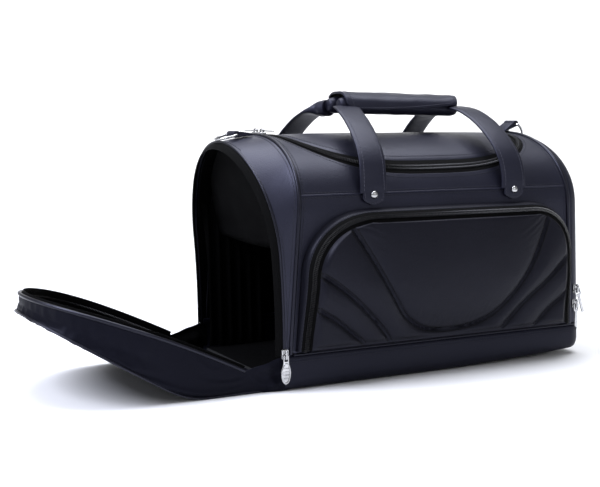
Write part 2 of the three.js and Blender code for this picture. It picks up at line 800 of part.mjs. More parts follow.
function dRing(name) {
  const bar = [vec(0, -15, 0), vec(0, 0, 0), vec(0, 15, 0)];
  const bow = steps(10).map((t) => {
    const angle = t * Math.PI;
    return vec(0, 16.5 * Math.cos(angle), -7 - 17 * Math.sin(angle));
  });
  return mesh(name, wireRing([...bar, ...bow], D_RING_BAR_R), nickel);
}

// Both are placed so that the ring's bar runs through the tab's loop.
function dRingSet(end, x, z, tilt, hang, flip) {
  const group = new THREE.Group();
  group.position.set(x, 0, z);
  group.rotation.set(0, THREE.MathUtils.degToRad(tilt), flip ? Math.PI : 0, "ZYX");
  const ring = dRing(`d_ring_${end}`);
  ring.position.z = 3.8;
  ring.rotation.y = THREE.MathUtils.degToRad(hang);
  group.add(dRingTab(`d_ring_tab_${end}`), ring);
  return group;
}

// ---------------------------------------------------------------- zip sliders and pulls
// Local frame: x across the zip, y up along it, z out of the tape. The pull hangs along -y.
const PULL_AXIS = { y: -1, z: 4.7 };

function slider(name) {
  const plate = new THREE.Shape();
  plate.moveTo(-4.4, -4);
  plate.lineTo(-2.4, -6.4);
  plate.lineTo(2.4, -6.4);
  plate.lineTo(4.4, -4);
  plate.lineTo(4.4, 6);
  plate.lineTo(-4.4, 6);
  plate.closePath();
  const bridge = new THREE.Shape();
  const outside = [[-5.2, 1], [-5.2, 6.4], [-4, 7.6], [4, 7.6], [5.2, 6.4], [5.2, 1]];
  const inside = [[3.4, 1], [3.4, 6.3], [-3.4, 6.3], [-3.4, 1]];
  [...outside, ...inside].forEach(([y, z], i) => (i === 0 ? bridge.moveTo(y, z) : bridge.lineTo(y, z)));
  bridge.closePath();
  const body = toSolid(new THREE.ExtrudeGeometry(plate, { depth: 2.8, bevelEnabled: false }));
  const bridgeGeometry = new THREE.ExtrudeGeometry(bridge, { depth: 2.4, bevelEnabled: false });
  bridgeGeometry.rotateX(Math.PI / 2);
  bridgeGeometry.rotateZ(Math.PI / 2);
  const loop = toSolid(bridgeGeometry);
  const box = loop.boundingBox();
  const centred = loop.translate([-(box.min[0] + box.max[0]) / 2, 0, 0]);
  return mesh(name, fromSolid(body.add(centred)), nickel);
}

function eyelet(halfHole) {
  const hole = new THREE.Path();
  hole.moveTo(-halfHole, -0.7);
  hole.lineTo(halfHole, -0.7);
  hole.lineTo(halfHole, -6.4);
  hole.lineTo(-halfHole, -6.4);
  hole.closePath();
  return hole;
}

function pullPlate(name, shape) {
  const geometry = new THREE.ExtrudeGeometry(shape, { depth: 1.4, bevelEnabled: false, curveSegments: 6 });
  geometry.translate(0, 0, -0.7);
  const made = mesh(name, geometry, nickel);
  made.position.set(0, PULL_AXIS.y, PULL_AXIS.z);
  return made;
}

function barPull(name, length, halfHole = 2.5) {
  const shape = new THREE.Shape();
  const [rail, bar] = [halfHole + 1.4, 1.7];
  shape.moveTo(-rail, 0.7);
  shape.lineTo(-rail, -7);
  shape.lineTo(-bar, -10);
  shape.absarc(0, -length, bar, Math.PI, 2 * Math.PI, false);
  shape.lineTo(bar, -10);
  shape.lineTo(rail, -7);
  shape.lineTo(rail, 0.7);
  shape.closePath();
  shape.holes.push(eyelet(halfHole));
  return pullPlate(name, shape);
}

function ovalPull(name, length) {
  const shape = new THREE.Shape();
  const [half, middle] = [6.4, -7.4 - (length - 7.4) / 2];
  shape.moveTo(-3.6, 0.7);
  shape.lineTo(-3.6, -8.4);
  shape.absellipse(0, middle, half, (length - 7.4) / 2, Math.PI * 0.72, Math.PI * 2.28, false);
  shape.lineTo(3.6, -8.4);
  shape.lineTo(3.6, 0.7);
  shape.closePath();
  shape.holes.push(eyelet(2.3));
  return pullPlate(name, shape);
}

// Places a slider and its pull; the rotation turns the local frame into the bag's.
function zipSlider(sliderName, pull, position, rotation) {
  const group = new THREE.Group();
  group.position.set(...position);
  group.rotation.set(...rotation, "ZYX");
  group.add(slider(sliderName), pull);
  return group;
}

function zipHardware() {
  const group = new THREE.Group();
  const faceFront = [Math.PI / 2, 0, 0];
  group.add(zipSlider("end_slider", ovalPull("end_pull", 34), [-220.9, -127.2, 45], faceFront));
  const upper = barPull("pocket_pull_upper", 31, 3.3);
  upper.rotation.z = THREE.MathUtils.degToRad(20); // it leans out past the lower slider
  group.add(zipSlider("pocket_slider_upper", upper, [203.5, -145.2, 95], faceFront));
  const lower = barPull("pocket_pull_lower", 28);
  group.add(zipSlider("pocket_slider_lower", lower, [202.5, -145.2, 75], faceFront));
  const top = MAIN.top + 0.5;
  group.add(zipSlider("lid_slider_front", barPull("lid_pull_front", 30), [-185, 4, top], [0, 0, 0]));
  group.add(zipSlider("lid_slider_rear", barPull("lid_pull_rear", 30), [-185, 22, top], [0, 0, Math.PI]));
  return group;
}

// ---------------------------------------------------------------- the whole bag
function shoeBag() {
  const bag = new THREE.Group();
  bag.add(mainShell(), lid(), shoeDivider());
  bag.add(pocketRoot(), pocketBody());
  bag.add(flapHinge(), flap());
  bag.add(handleFixings(), frontHandle(), rearHandle());
  bag.add(dRingSet("left", -226, 296.3, -8.5, 84, false));
  bag.add(dRingSet("right", 208, 308, 20, 15, true));
  bag.add(zipHardware());
  return bag;
}

export default shoeBag();
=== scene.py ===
"""Golf shoe bag: the looks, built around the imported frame. Metres, +Z up, and the pocket faces -Y."""
import json
import math
from contextlib import contextmanager

import bmesh
import bpy
import numpy as np
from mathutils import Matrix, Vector, noise
from mathutils.bvhtree import BVHTree


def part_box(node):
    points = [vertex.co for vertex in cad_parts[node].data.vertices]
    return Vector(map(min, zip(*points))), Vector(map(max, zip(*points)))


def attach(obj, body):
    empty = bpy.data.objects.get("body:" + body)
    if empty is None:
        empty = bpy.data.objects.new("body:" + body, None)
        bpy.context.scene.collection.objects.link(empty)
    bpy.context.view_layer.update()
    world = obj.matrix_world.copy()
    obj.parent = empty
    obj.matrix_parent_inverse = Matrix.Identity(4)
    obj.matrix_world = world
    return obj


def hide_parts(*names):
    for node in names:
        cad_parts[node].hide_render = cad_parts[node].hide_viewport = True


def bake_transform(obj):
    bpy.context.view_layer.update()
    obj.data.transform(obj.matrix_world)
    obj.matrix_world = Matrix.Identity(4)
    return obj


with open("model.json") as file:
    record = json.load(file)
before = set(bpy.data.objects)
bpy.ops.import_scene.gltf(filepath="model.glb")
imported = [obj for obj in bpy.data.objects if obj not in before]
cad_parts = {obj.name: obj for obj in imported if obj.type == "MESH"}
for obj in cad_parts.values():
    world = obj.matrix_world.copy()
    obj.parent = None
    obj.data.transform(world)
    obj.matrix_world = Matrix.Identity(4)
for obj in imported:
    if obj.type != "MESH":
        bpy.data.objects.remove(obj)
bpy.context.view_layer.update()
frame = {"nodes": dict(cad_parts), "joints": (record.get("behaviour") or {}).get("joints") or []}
JOINTS = {joint["name"]: joint for joint in frame["joints"]}
MM = 0.001
UP, DOWN, FRONT = np.array([0, 0, 1.0]), np.array([0, 0, -1.0]), np.array([0, -1.0, 0])

# ---------------------------------------------------------------- driving dimensions, from the frame
BASE_LOW, BASE_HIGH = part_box("base_panel")
HALF_WIDTH = BASE_HIGH.y
BASE_TOP = BASE_HIGH.z
SEAM_Z = (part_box("front_panel")[1].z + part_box("front_yoke")[0].z) / 2
PANEL_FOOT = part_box("front_panel")[0].z
SKIN = 3 * MM
WALL = SKIN * 0.8
PIPING_R = 2.6 * MM
PIPING_ROOM = 3.2 * MM
END_ROUND = 22 * MM
SEAM_TUCK = 1.2 * MM  # panels end this far from the piping's middle, under its roll
CORE_Z = 120 * MM  # height of the bag's long axis
LEFT_SEAM_FOOT, LEFT_LEAN = -215 * MM, 0.062
RIGHT_SEAM_FOOT, RIGHT_LEAN = 215 * MM, -0.065
HINGE = Vector(JOINTS["flap_swing"]["pos_m"])
FLAP_OPEN = math.radians(63)


class Section:
    """A cross-section of the bag: walls up to the shoulder, then a superellipse over the crown.
    q runs from -1 at the front foot, through 0 at the crown, to 1 at the back foot."""

    def __init__(self, half, flare, shoulder, top, power, foot):
        self.half, self.flare, self.shoulder = half * MM, flare, shoulder * MM
        self.top, self.power, self.foot = top * MM, power, foot * MM
        self.wide = self.half + flare * self.shoulder

    def wall_y(self, z):
        """Half the width at height z."""
        z = np.asarray(z, float)
        rise = np.clip((z - self.shoulder) / (self.top - self.shoulder), 0, 1)
        crown = self.wide * (1 - rise**self.power) ** (1 / self.power)
        return np.where(z <= self.shoulder, self.half + self.flare * z, crown)

    def crown_z(self, y):
        out = np.clip(np.abs(y) / self.wide, 0, 1)
        return self.shoulder + (self.top - self.shoulder) * (1 - out**self.power) ** (1 / self.power)

    def at(self, q):
        """(y, z) at q, for arrays."""
        q = np.asarray(q, float)
        size = np.abs(q)
        wall_z = self.shoulder + (self.foot - self.shoulder) * np.clip((size - 0.5) * 2, 0, 1)
        angle = (0.5 - np.clip(size, 0, 0.5)) * math.pi
        arch_y = self.wide * np.abs(np.cos(angle)) ** (2 / self.power)
        arch_z = self.shoulder + (self.top - self.shoulder) * np.sin(angle) ** (2 / self.power)
        on_wall = size >= 0.5
        y = np.where(on_wall, self.half + self.flare * wall_z, arch_y)
        return np.sign(q) * y, np.where(on_wall, wall_z, arch_z)

    def inset(self, q, by):
        """(y, z) at q, moved inwards by a distance in the plane of the section."""
        q = np.asarray(q, float)
        y, z = self.at(q)
        before, after = self.at(np.clip(q - 0.004, -1, 1)), self.at(np.clip(q + 0.004, -1, 1))
        ty, tz = after[0] - before[0], after[1] - before[1]
        length = np.hypot(ty, tz)
        return y + tz / length * by, z - ty / length * by

    def q_at_z(self, z):
        if z <= self.shoulder:
            return 0.5 + 0.5 * (self.shoulder - z) / (self.shoulder - self.foot)
        rise = min(1, (z - self.shoulder) / (self.top - self.shoulder))
        return 0.5 - math.asin(rise ** (self.power / 2)) / math.pi


MAIN = Section(126, 0.0145, 209, 299, 2.15, 44.8)
RIM = Section(126, 0, 162, 291, 1.97, 41.8)
RIM_INNER = Section(117, 0, 160, 282, 1.97, 41.8)
FLAP_RIM = Section(120, 0, 158, 283, 1.97, 41)
FLAP_EDGE = Section(117, 0, 156, 278, 2, 9)


def lerp(a, b, t):
    return a + (b - a) * t


def smooth(value, low, high):
    t = np.clip((value - low) / (high - low), 0, 1)
    return t * t * (3 - 2 * t)


def left_seam(z):
    return LEFT_SEAM_FOOT + LEFT_LEAN * z


def right_seam(z):
    return RIGHT_SEAM_FOOT + RIGHT_LEAN * z


def opening_x(z):
    """The leaning plane of the shoe opening's rim."""
    return -219.5 * MM - 26 * MM * (np.clip(z, 0, None) / RIM.top) ** 2.8


def run_of(path):
    """The distance along a path at each of its points."""
    return np.concatenate([[0], np.cumsum(np.linalg.norm(np.diff(path, axis=0), axis=1))])


def ease_to_arch(count):
    """q values from -1 to 1 that step evenly along the main section."""
    fine = np.linspace(-1, 1, 2000)
    run = run_of(np.column_stack(MAIN.at(fine)))
    return np.interp(np.linspace(0, run[-1], count), run, fine)


def wrinkle(points, scale, size, seed):
    """A smooth signed height for each point, from seeded noise. scale is the wave's length."""
    flat = points.reshape(-1, 3)
    heights = [noise.noise(Vector(p) / scale + Vector((seed, seed * 1.7, -seed))) for p in flat]
    return np.array(heights).reshape(points.shape[:-1]) * size


# ---------------------------------------------------------------- mesh helpers
def grid(x, y, z):
    """Points from coordinates that broadcast together."""
    return np.stack(np.broadcast_arrays(x, y, z), -1)


def unit(vectors):
    return vectors / np.maximum(np.linalg.norm(vectors, axis=-1, keepdims=True), 1e-12)


def pushed(points, out, amount):
    """The points moved along the vectors out, each by its own amount."""
    return points + out * np.asarray(amount)[..., None]


def directions(outwards, points):
    """outwards is a vector, an array of vectors, or a function of the points that gives them."""
    return outwards(points) if callable(outwards) else np.asarray(outwards)


def grid_normals(points, wrap=False):
    if wrap:
        across = np.roll(points, -1, 1) - np.roll(points, 1, 1)
    else:
        across = np.gradient(points, axis=1)
    return unit(np.cross(np.gradient(points, axis=0), across))


def normals_facing(points, outwards, wrap=False):
    """A grid's normals, turned to the side where outwards points."""
    normals = grid_normals(points, wrap)
    turn = np.sign((normals * directions(outwards, points)).sum(axis=2).mean())
    return normals * (turn or 1)


@contextmanager
def edited(mesh):
    """A mesh as a bmesh, which is written back at the end."""
    bm = bmesh.new()
    bm.from_mesh(mesh)
    yield bm
    bm.to_mesh(mesh)
    bm.free()


def new_object(name, vertices, faces, materials, face_materials=None):
    mesh = bpy.data.meshes.new(name)
    mesh.from_pydata([tuple(v) for v in vertices], [], faces)
    mesh.update()
    made = bpy.data.objects.new(name, mesh)
    bpy.context.scene.collection.objects.link(made)
    for item in materials:
        mesh.materials.append(item)
    if face_materials is not None:
        mesh.polygons.foreach_set("material_index", face_materials)
    with edited(mesh) as bm:
        bmesh.ops.recalc_face_normals(bm, faces=bm.faces)
    mesh.polygons.foreach_set("use_smooth", [True] * len(mesh.polygons))
    mesh.set_sharp_from_angle(angle=math.radians(50))
    return made


def grid_faces(rows, columns, wrap=False, start=0):
    faces = []
    for i in range(rows - 1):
        for j in range(columns if wrap else columns - 1):
            k = (j + 1) % columns
            a = start + i * columns
            b = a + columns
            faces.append((a + j, a + k, b + k, b + j))
    return faces


def thick_sheet(name, points, thickness, outwards, material, wrap=False, round_edge=0.8 * MM):
    """A closed sheet: points is the outer face, as rows and columns, and the inner face lies behind it.
    Leather is backed with lining, and any other material shows on both sides."""
    rows, columns = points.shape[:2]
    inner = points - normals_facing(points, outwards, wrap) * thickness
    vertices = np.concatenate([points.reshape(-1, 3), inner.reshape(-1, 3)])
    depth, last = rows * columns, (rows - 1) * columns
    front = grid_faces(rows, columns, wrap)
    back = [tuple(i + depth for i in reversed(face)) for face in front]
    edges = []
    for j in range(columns if wrap else columns - 1):
        k = (j + 1) % columns
        edges += [(k, j), (last + j, last + k)]
    if not wrap:
        for a in range(0, last, columns):
            edges += [(a, a + columns), (a + 2 * columns - 1, a + columns - 1)]
    rim = [(a, b, b + depth, a + depth) for a, b in edges]
    slots = [0] * len(front) + [1] * len(back) + [0] * len(rim)
    backing = LINING if material.name.endswith("leather") else material
    made = new_object(name, vertices, front + back + rim, (material, backing), slots)
    if round_edge:
        bevel = made.modifiers.new("rounded_edge", "BEVEL")
        bevel.width = min(round_edge, thickness * 0.45)
        bevel.segments = 2
        bevel.angle_limit = math.radians(50)
        bevel.use_clamp_overlap = True
    return made


def frames_along(path, up, closed=False):
    """Tangent, side and up vectors at each point of a path, side = tangent x up."""
    tangent = unit(np.roll(path, -1, 0) - np.roll(path, 1, 0) if closed else np.gradient(path, axis=0))
    side = unit(np.cross(tangent, np.broadcast_to(np.asarray(up, float), path.shape)))
    return tangent, side, np.cross(side, tangent)


def tube(name, path, radius, up, material, sides=10, closed=False):
    """A round cord along a path, either a ring or with domed ends."""
    tangent, side, rise = frames_along(path, up, closed)
    angle = np.linspace(0, 2 * math.pi, sides, endpoint=False)[None, :, None]
    points = path[:, None] + (side[:, None] * np.cos(angle) + rise[:, None] * np.sin(angle)) * radius
    if closed:
        points = np.concatenate([points, points[:1]])
    else:
        caps = []
        for end, sign in ((0, -1), (-1, 1)):
            ahead = tangent[end] * sign * radius
            caps.append(path[end] + (points[end] - path[end]) * 0.75 + ahead * 0.45)
            caps.append(np.tile(path[end] + ahead * 0.6, (sides, 1)))
        points = np.concatenate([[caps[1]], [caps[0]], points, [caps[2]], [caps[3]]])
    made = new_object(name, points.reshape(-1, 3), grid_faces(len(points), sides, True), [material])
    with edited(made.data) as bm:
        bmesh.ops.remove_doubles(bm, verts=bm.verts, dist=1e-7)
    return made


def resampled(path, count):
    """The same path with count points at equal steps."""
    run = run_of(path)
    at = np.linspace(0, run[-1], count)
    return np.stack([np.interp(at, run, values) for values in path.T], axis=1)


def spaced(path, step):
    """The same path with points about step apart."""
    return resampled(path, max(2, int(round(run_of(path)[-1] / step)) + 1))


def curve_through(points, count):
    """A smooth Catmull-Rom path through points."""
    points = np.asarray(points, float)
    padded = np.concatenate([[2 * points[0] - points[1]], points, [2 * points[-1] - points[-2]]])
    spans = len(points) - 1
    result = []
    for value in np.linspace(0, spans, count):
        i = min(int(value), spans - 1)
        t = value - i
        a, b, c, d = padded[i : i + 4]
        bend = (c - a) * t + (2 * a - 5 * b + 4 * c - d) * t**2 + (3 * b - a - 3 * c + d) * t**3
        result.append(b + bend / 2)
    return np.array(result)


class Surface:
    """The final faces of some pieces, to lay stitches on."""

    def __init__(self, *objects):
        vertices, faces = [], []
        for o in objects:
            start = len(vertices)
            vertices += [v.co.copy() for v in o.data.vertices]
            faces += [[start + i for i in p.vertices] for p in o.data.polygons]
        self.tree = BVHTree.FromPolygons(vertices, faces)

    def lay(self, path):
        """The nearest points of the faces to a path's points, and the normals there."""
        found = [self.tree.find_nearest(Vector(p))[:2] for p in path]
        return np.array([place for place, _ in found]), np.array([normal for _, normal in found])


def add_bead(vertices, faces, rings):
    """Adds a small six-sided solid, given as its cross-sections from end to end."""
    start = len(vertices)
    vertices += [vertex for ring in rings for vertex in ring]
    faces += grid_faces(len(rings), 6, True, start)
    faces += [tuple(range(first, first + 6)) for first in (start, start + 6 * len(rings) - 6)]


def stitches(name, paths, surface, material, outwards, pitch=4.2 * MM, size=0.42 * MM):
    """A row of raised stitches along each path, laid on a surface. Each is a bead with pointed ends."""
    vertices, faces = [], []
    profile = ((-0.40, 0.25), (-0.26, 0.9), (0.0, 1.1), (0.26, 0.9), (0.40, 0.25))
    angles = np.arange(6) * math.pi / 3
    for path in paths:
        points, normals = surface.lay(spaced(np.asarray(path, float), pitch))
        normals[(normals * directions(outwards, points)).sum(axis=1) < 0] *= -1
        for p, t, s, u in list(zip(points, *frames_along(points, normals)))[:-1]:
            middle = p + t * pitch * 0.5
            bulges = [s * math.cos(angle) + u * (math.sin(angle) * 0.8 + 0.25) for angle in angles]
            rings = []
            for along, wide in profile:
                rings.append([middle + t * along * pitch + bulge * size * wide for bulge in bulges])
            add_bead(vertices, faces, rings)
    return new_object(name, vertices, faces, [material])


CLOTH = {
    "quality": 6, "mass": 0.15, "bending_stiffness": 0.6, "air_damping": 4.0, "use_pressure": True,
    "vertex_group_mass": "pinned",
}
CLOTH_FRAMES = 16


def relaxed(points, pinned, outwards, pressure, cap, stiffness=25.0, gravity=0.0, wrap=False):
    """The grid after a short cloth simulation, which moves no point by more than cap, and no pinned one."""
    rows, columns = points.shape[:2]
    mesh = bpy.data.meshes.new("cloth_work")
    faces = grid_faces(rows, columns, wrap)
    if (grid_normals(points, wrap) * outwards).sum() < 0:
        faces = [tuple(reversed(face)) for face in faces]
    mesh.from_pydata([tuple(v) for v in points.reshape(-1, 3)], [], faces)
    middle = mesh.polygons[len(mesh.polygons) // 2]
    out = np.broadcast_to(outwards, points.shape).reshape(-1, 3)[middle.vertices[0]]
    if middle.normal.dot(Vector(out)) < 0:
        mesh.flip_normals()
    work = bpy.data.objects.new("cloth_work", mesh)
    scene = bpy.context.scene
    scene.collection.objects.link(work)
    group = work.vertex_groups.new(name="pinned")
    group.add([int(i) for i in np.flatnonzero(pinned.reshape(-1))], 1.0, "REPLACE")
    cloth = work.modifiers.new("cloth", "CLOTH")
    settings = cloth.settings
    for key, value in CLOTH.items():
        setattr(settings, key, value)
    settings.tension_stiffness = settings.compression_stiffness = stiffness
    settings.shear_stiffness = stiffness * 0.4
    settings.uniform_pressure_force = pressure
    settings.effector_weights.gravity = gravity
    cloth.collision_settings.use_self_collision = False
    cloth.collision_settings.use_collision = False
    cloth.point_cache.frame_end = CLOTH_FRAMES
    for number in range(1, CLOTH_FRAMES + 1):
        scene.frame_set(number)
    result = work.evaluated_get(bpy.context.evaluated_depsgraph_get())
    moved = np.empty(len(mesh.vertices) * 3)
    result.data.vertices.foreach_get("co", moved)
    scene.frame_set(1)
    bpy.data.objects.remove(work)
    shift = np.nan_to_num(moved.reshape(points.shape) - points)
    length = np.linalg.norm(shift, axis=2, keepdims=True)
    return points + shift * np.minimum(1, cap / np.maximum(length, 1e-9))


def edge_pins(points):
    """Pins along all four edges of a grid."""
    pins = np.ones(points.shape[:2], bool)
    pins[1:-1, 1:-1] = False
    return pins


def end_pins(points):
    """Pins on the first and last rows of a grid that closes on itself."""
    pins = np.zeros(points.shape[:2], bool)
    pins[[0, -1]] = True
    return pins


def edge_fade(points, width=5):
    """1 in the middle of a grid, falling to 0 at its edges over width rows and columns."""
    i, j = np.indices(points.shape[:2])
    rows, columns = points.shape[:2]
    return smooth(np.minimum.reduce([i, rows - 1 - i, j, columns - 1 - j]), 0, width)


def finish_piece(piece, body, slot, *nodes):
    """Rides a piece on its body and hides the CAD nodes that it stands for. slot is not used."""
    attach(piece, body)
    if nodes:
        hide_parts(*nodes)
    return piece


# ---------------------------------------------------------------- materials
class Nodes:
    """A material's node tree, with short calls for the nodes that the finishes share."""

    def __init__(self, name):
        self.material = bpy.data.materials.new(name)
        self.material.use_nodes = True
        self.tree = self.material.node_tree
        self.shader = self.tree.nodes["Principled BSDF"]
        self.place = self.add("ShaderNodeTexCoord").outputs["Object"]

    def add(self, kind, **values):
        node = self.tree.nodes.new(kind)
        for key, value in values.items():
            setattr(node, key, value)
        return node

    def link(self, source, target):
        self.tree.links.new(source, target)

    def noise(self, scale, detail=3.0, stretch=None):
        node = self.add("ShaderNodeTexNoise")
        node.inputs["Scale"].default_value = scale
        node.inputs["Detail"].default_value = detail
        self.link(self.stretched(stretch), node.inputs["Vector"])
        return node.outputs["Fac"]

    def cells(self, scale):
        node = self.add("ShaderNodeTexVoronoi")
        node.inputs["Scale"].default_value = scale
        self.link(self.place, node.inputs["Vector"])
        return node.outputs["Distance"]

    def stretched(self, stretch):
        if stretch is None:
            return self.place
        node = self.add("ShaderNodeVectorMath", operation="MULTIPLY")
        node.inputs[1].default_value = stretch
        self.link(self.place, node.inputs[0])
        return node.outputs[0]

    def wave(self, scale, direction, distortion=0.0):
        node = self.add("ShaderNodeTexWave", bands_direction=direction)
        node.inputs["Scale"].default_value = scale
        node.inputs["Distortion"].default_value = distortion
        self.link(self.place, node.inputs["Vector"])
        return node.outputs["Fac"]

    def math(self, operation, a, b):
        node = self.add("ShaderNodeMath", operation=operation)
        for socket, value in zip(node.inputs, (a, b)):
            if isinstance(value, (int, float)):
                socket.default_value = value
            else:
                self.link(value, socket)
        return node.outputs[0]

    def ramp(self, value, low, high, start=0.0, end=1.0):
        """Maps value from start..end to low..high, which are numbers."""
        node = self.add("ShaderNodeMapRange")
        for name, number in (("From Min", start), ("From Max", end), ("To Min", low), ("To Max", high)):
            node.inputs[name].default_value = number
        self.link(value, node.inputs["Value"])
        return node.outputs["Result"]

    def colours(self, value, *stops):
        """A colour ramp over (position, colour) stops."""
        node = self.add("ShaderNodeValToRGB")
        elements = node.color_ramp.elements
        while len(elements) < len(stops):
            elements.new(0.5)
        for element, (position, colour) in zip(elements, stops):
            element.position = position
            element.color = (*colour, 1)
        self.link(value, node.inputs["Fac"])
        return node.outputs["Color"]

    def mixed(self, fac, a, b):
        node = self.add("ShaderNodeMix", data_type="RGBA")
        self.link(fac, node.inputs["Factor"])
        for socket, value in ((node.inputs["A"], a), (node.inputs["B"], b)):
            if isinstance(value, tuple):
                socket.default_value = (*value, 1)
            else:
                self.link(value, socket)
        return node.outputs["Result"]

    def bump(self, height, strength, distance, before=None):
        node = self.add("ShaderNodeBump")
        node.inputs["Strength"].default_value = strength
        node.inputs["Distance"].default_value = distance
        self.link(height, node.inputs["Height"])
        if before is not None:
            self.link(before, node.inputs["Normal"])
        return node.outputs["Normal"]

    def set(self, **values):
        for name, value in values.items():
            socket = self.shader.inputs[name.replace("_", " ")]
            if isinstance(value, (int, float)):
                socket.default_value = value
            elif isinstance(value, tuple):
                socket.default_value = (*value, 1) if len(value) == 3 else value
            else:
                self.link(value, socket)
        return self.material


def scaled(colour, factor):
    return tuple(c * factor for c in colour)


def leather(name, colour, rough, grain=620.0, depth=0.00022, coat=0.05, shine=0.34):
    """Grained synthetic leather: pebbles, finer pores, cloudy colour and lighter worn edges."""
    n = Nodes(name)
    pebbles = n.cells(grain)
    pores = n.noise(grain * 3.2, 2.0)
    clouds = n.noise(9.0, 3.0)
    base = n.colours(clouds, (0.32, scaled(colour, 0.82)), (0.68, scaled(colour, 1.22)))
    shaded = n.mixed(n.ramp(pebbles, 0.0, 0.35, 0.1, 0.75), base, scaled(colour, 0.5))
    edge = n.ramp(n.add("ShaderNodeNewGeometry").outputs["Pointiness"], 0.0, 0.5, 0.53, 0.62)
    colour_out = n.mixed(edge, shaded, scaled(colour, 2.4))
    roughness = n.math("ADD", n.ramp(clouds, rough - 0.06, rough + 0.07), n.ramp(pores, -0.04, 0.05))
    height = n.math("ADD", n.math("MULTIPLY", pebbles, -1.0), n.math("MULTIPLY", pores, 0.35))
    fine = n.bump(height, 0.55, depth)
    creased = n.bump(n.noise(34.0, 4.0), 0.22, 0.0022, fine)
    return n.set(
        Base_Color=colour_out, Roughness=roughness, Normal=creased, Coat_Weight=coat, Coat_Roughness=0.3,
        Specular_IOR_Level=shine, Specular_Tint=(0.70, 0.72, 1.0),
    )


def woven(name, colour, rough, sheen, threads=1100.0):
    """Plain woven cloth: crossed threads, slubs and a soft sheen."""
    n = Nodes(name)
    warp = n.wave(threads, "X")
    weft = n.wave(threads, "Z")
    across = n.wave(threads, "Y")
    height = n.math("MAXIMUM", n.math("MULTIPLY", warp, weft), n.math("MULTIPLY", across, weft))
    slubs = n.noise(60.0, 4.0, (1.0, 1.0, 6.0))
    shade = n.math("ADD", n.math("MULTIPLY", height, 0.5), n.math("MULTIPLY", slubs, 0.5))
    tone = n.colours(shade, (0.2, scaled(colour, 0.6)), (0.75, scaled(colour, 1.5)))
    roughness = n.ramp(slubs, rough - 0.05, rough + 0.08)
    folds = n.bump(n.noise(28.0, 3.0), 0.25, 0.003, n.bump(height, 0.5, 0.00025))
    return n.set(
        Base_Color=tone, Roughness=roughness, Normal=folds, Sheen_Weight=sheen, Sheen_Roughness=0.5,
        Specular_IOR_Level=0.06,
    )


def nickel(name):
    """Polished nickel plate: fine scratches, cloudy polish and darker recesses."""
    n = Nodes(name)
    scratches = n.noise(1500.0, 2.0, (1.0, 0.08, 0.3))
    clouds = n.noise(160.0, 3.0)
    tone = n.colours(clouds, (0.3, (0.36, 0.36, 0.37)), (0.7, (0.60, 0.60, 0.60)))
    hollow = n.ramp(n.add("ShaderNodeNewGeometry").outputs["Pointiness"], 0.8, 0.0, 0.42, 0.5)
    colour = n.mixed(hollow, tone, (0.05, 0.05, 0.055))
    roughness = n.math("ADD", n.ramp(clouds, 0.12, 0.24), n.ramp(scratches, -0.02, 0.08))
    return n.set(Base_Color=colour, Roughness=roughness, Metallic=1.0, Normal=n.bump(scratches, 0.12, 0.0001))


def thread(name, colour):
    """Waxed sewing thread with its twist."""
    n = Nodes(name)
    twist = n.wave(1400.0, "DIAGONAL", 1.0)
    tone = n.colours(twist, (0.2, scaled(colour, 0.6)), (0.8, scaled(colour, 1.25)))
    rough = n.ramp(n.noise(400.0), 0.55, 0.75)
    return n.set(Base_Color=tone, Roughness=rough, Normal=n.bump(twist, 0.4, 0.0002), Specular_IOR_Level=0.15)


def moulded(name, colour, rough):
    """A speckled hard finish, for the zips' teeth and the boards."""
    n = Nodes(name)
    speck = n.noise(900.0, 3.0)
    tone = n.colours(speck, (0.3, scaled(colour, 0.75)), (0.7, scaled(colour, 1.3)))
    roughness = n.ramp(speck, rough - 0.08, rough + 0.1)
    return n.set(Base_Color=tone, Roughness=roughness, Normal=n.bump(speck, 0.2, 0.0001))


def studio_floor(name):
    n = Nodes(name)
    clouds = n.noise(2.2, 2.0)
    tone = n.colours(clouds, (0.3, (0.80, 0.80, 0.805)), (0.7, (0.83, 0.83, 0.835)))
    roughness = n.ramp(clouds, 0.62, 0.7)
    return n.set(Base_Color=tone, Roughness=roughness, Normal=n.bump(n.noise(500.0), 0.02, 0.0002))


BODY_LEATHER = leather("body_leather", (0.0062, 0.0064, 0.0125), 0.44)
BAND_LEATHER = leather("band_leather", (0.0095, 0.0098, 0.0175), 0.42, shine=0.42)
NAVY_LEATHER = leather("navy_leather", (0.0042, 0.0044, 0.0095), 0.48, 700.0, 0.00016, shine=0.2)
POCKET_LEATHER = leather("pocket_leather", (0.0042, 0.0042, 0.0066), 0.47, 560.0, 0.00026, shine=0.15)
PIPING_LEATHER = leather("piping_leather", (0.0030, 0.0030, 0.0042), 0.34, 900.0, 0.0001)
FLAP_LEATHER = leather("flap_leather", (0.0032, 0.0033, 0.0062), 0.5, 760.0, 0.00014, coat=0.0, shine=0.1)
LINING = woven("black_lining", (0.0008, 0.0008, 0.0010), 0.92, sheen=0.0)
TAPE_CLOTH = woven("zip_tape_cloth", (0.0010, 0.0010, 0.0012), 0.75, sheen=0.01, threads=1500.0)
TEETH = moulded("zip_teeth_nylon", (0.0030, 0.0030, 0.0042), 0.36)
BOARD = moulded("fibre_board", (0.012, 0.012, 0.013), 0.8)
NICKEL = nickel("nickel_plate")
DARK_THREAD = thread("dark_thread", (0.020, 0.021, 0.030))
# Near-black thread for the quilting: the thread is dark, and its near-black colour also paints the shade that
# falls in the sewn channels.
BLACK_THREAD_PAINTED_SHADE = thread("black_thread_painted_shade", (0.0022, 0.0022, 0.003))
PALE_THREAD = thread("pale_thread", (0.055, 0.055, 0.075))
FLOOR = studio_floor("pale_floor")


# ---------------------------------------------------------------- directions out of the bag
def away_from_core(points):
    """Vectors out of the bag's long axis."""
    return points * [0, 1, 1] - [0, 0, CORE_Z]


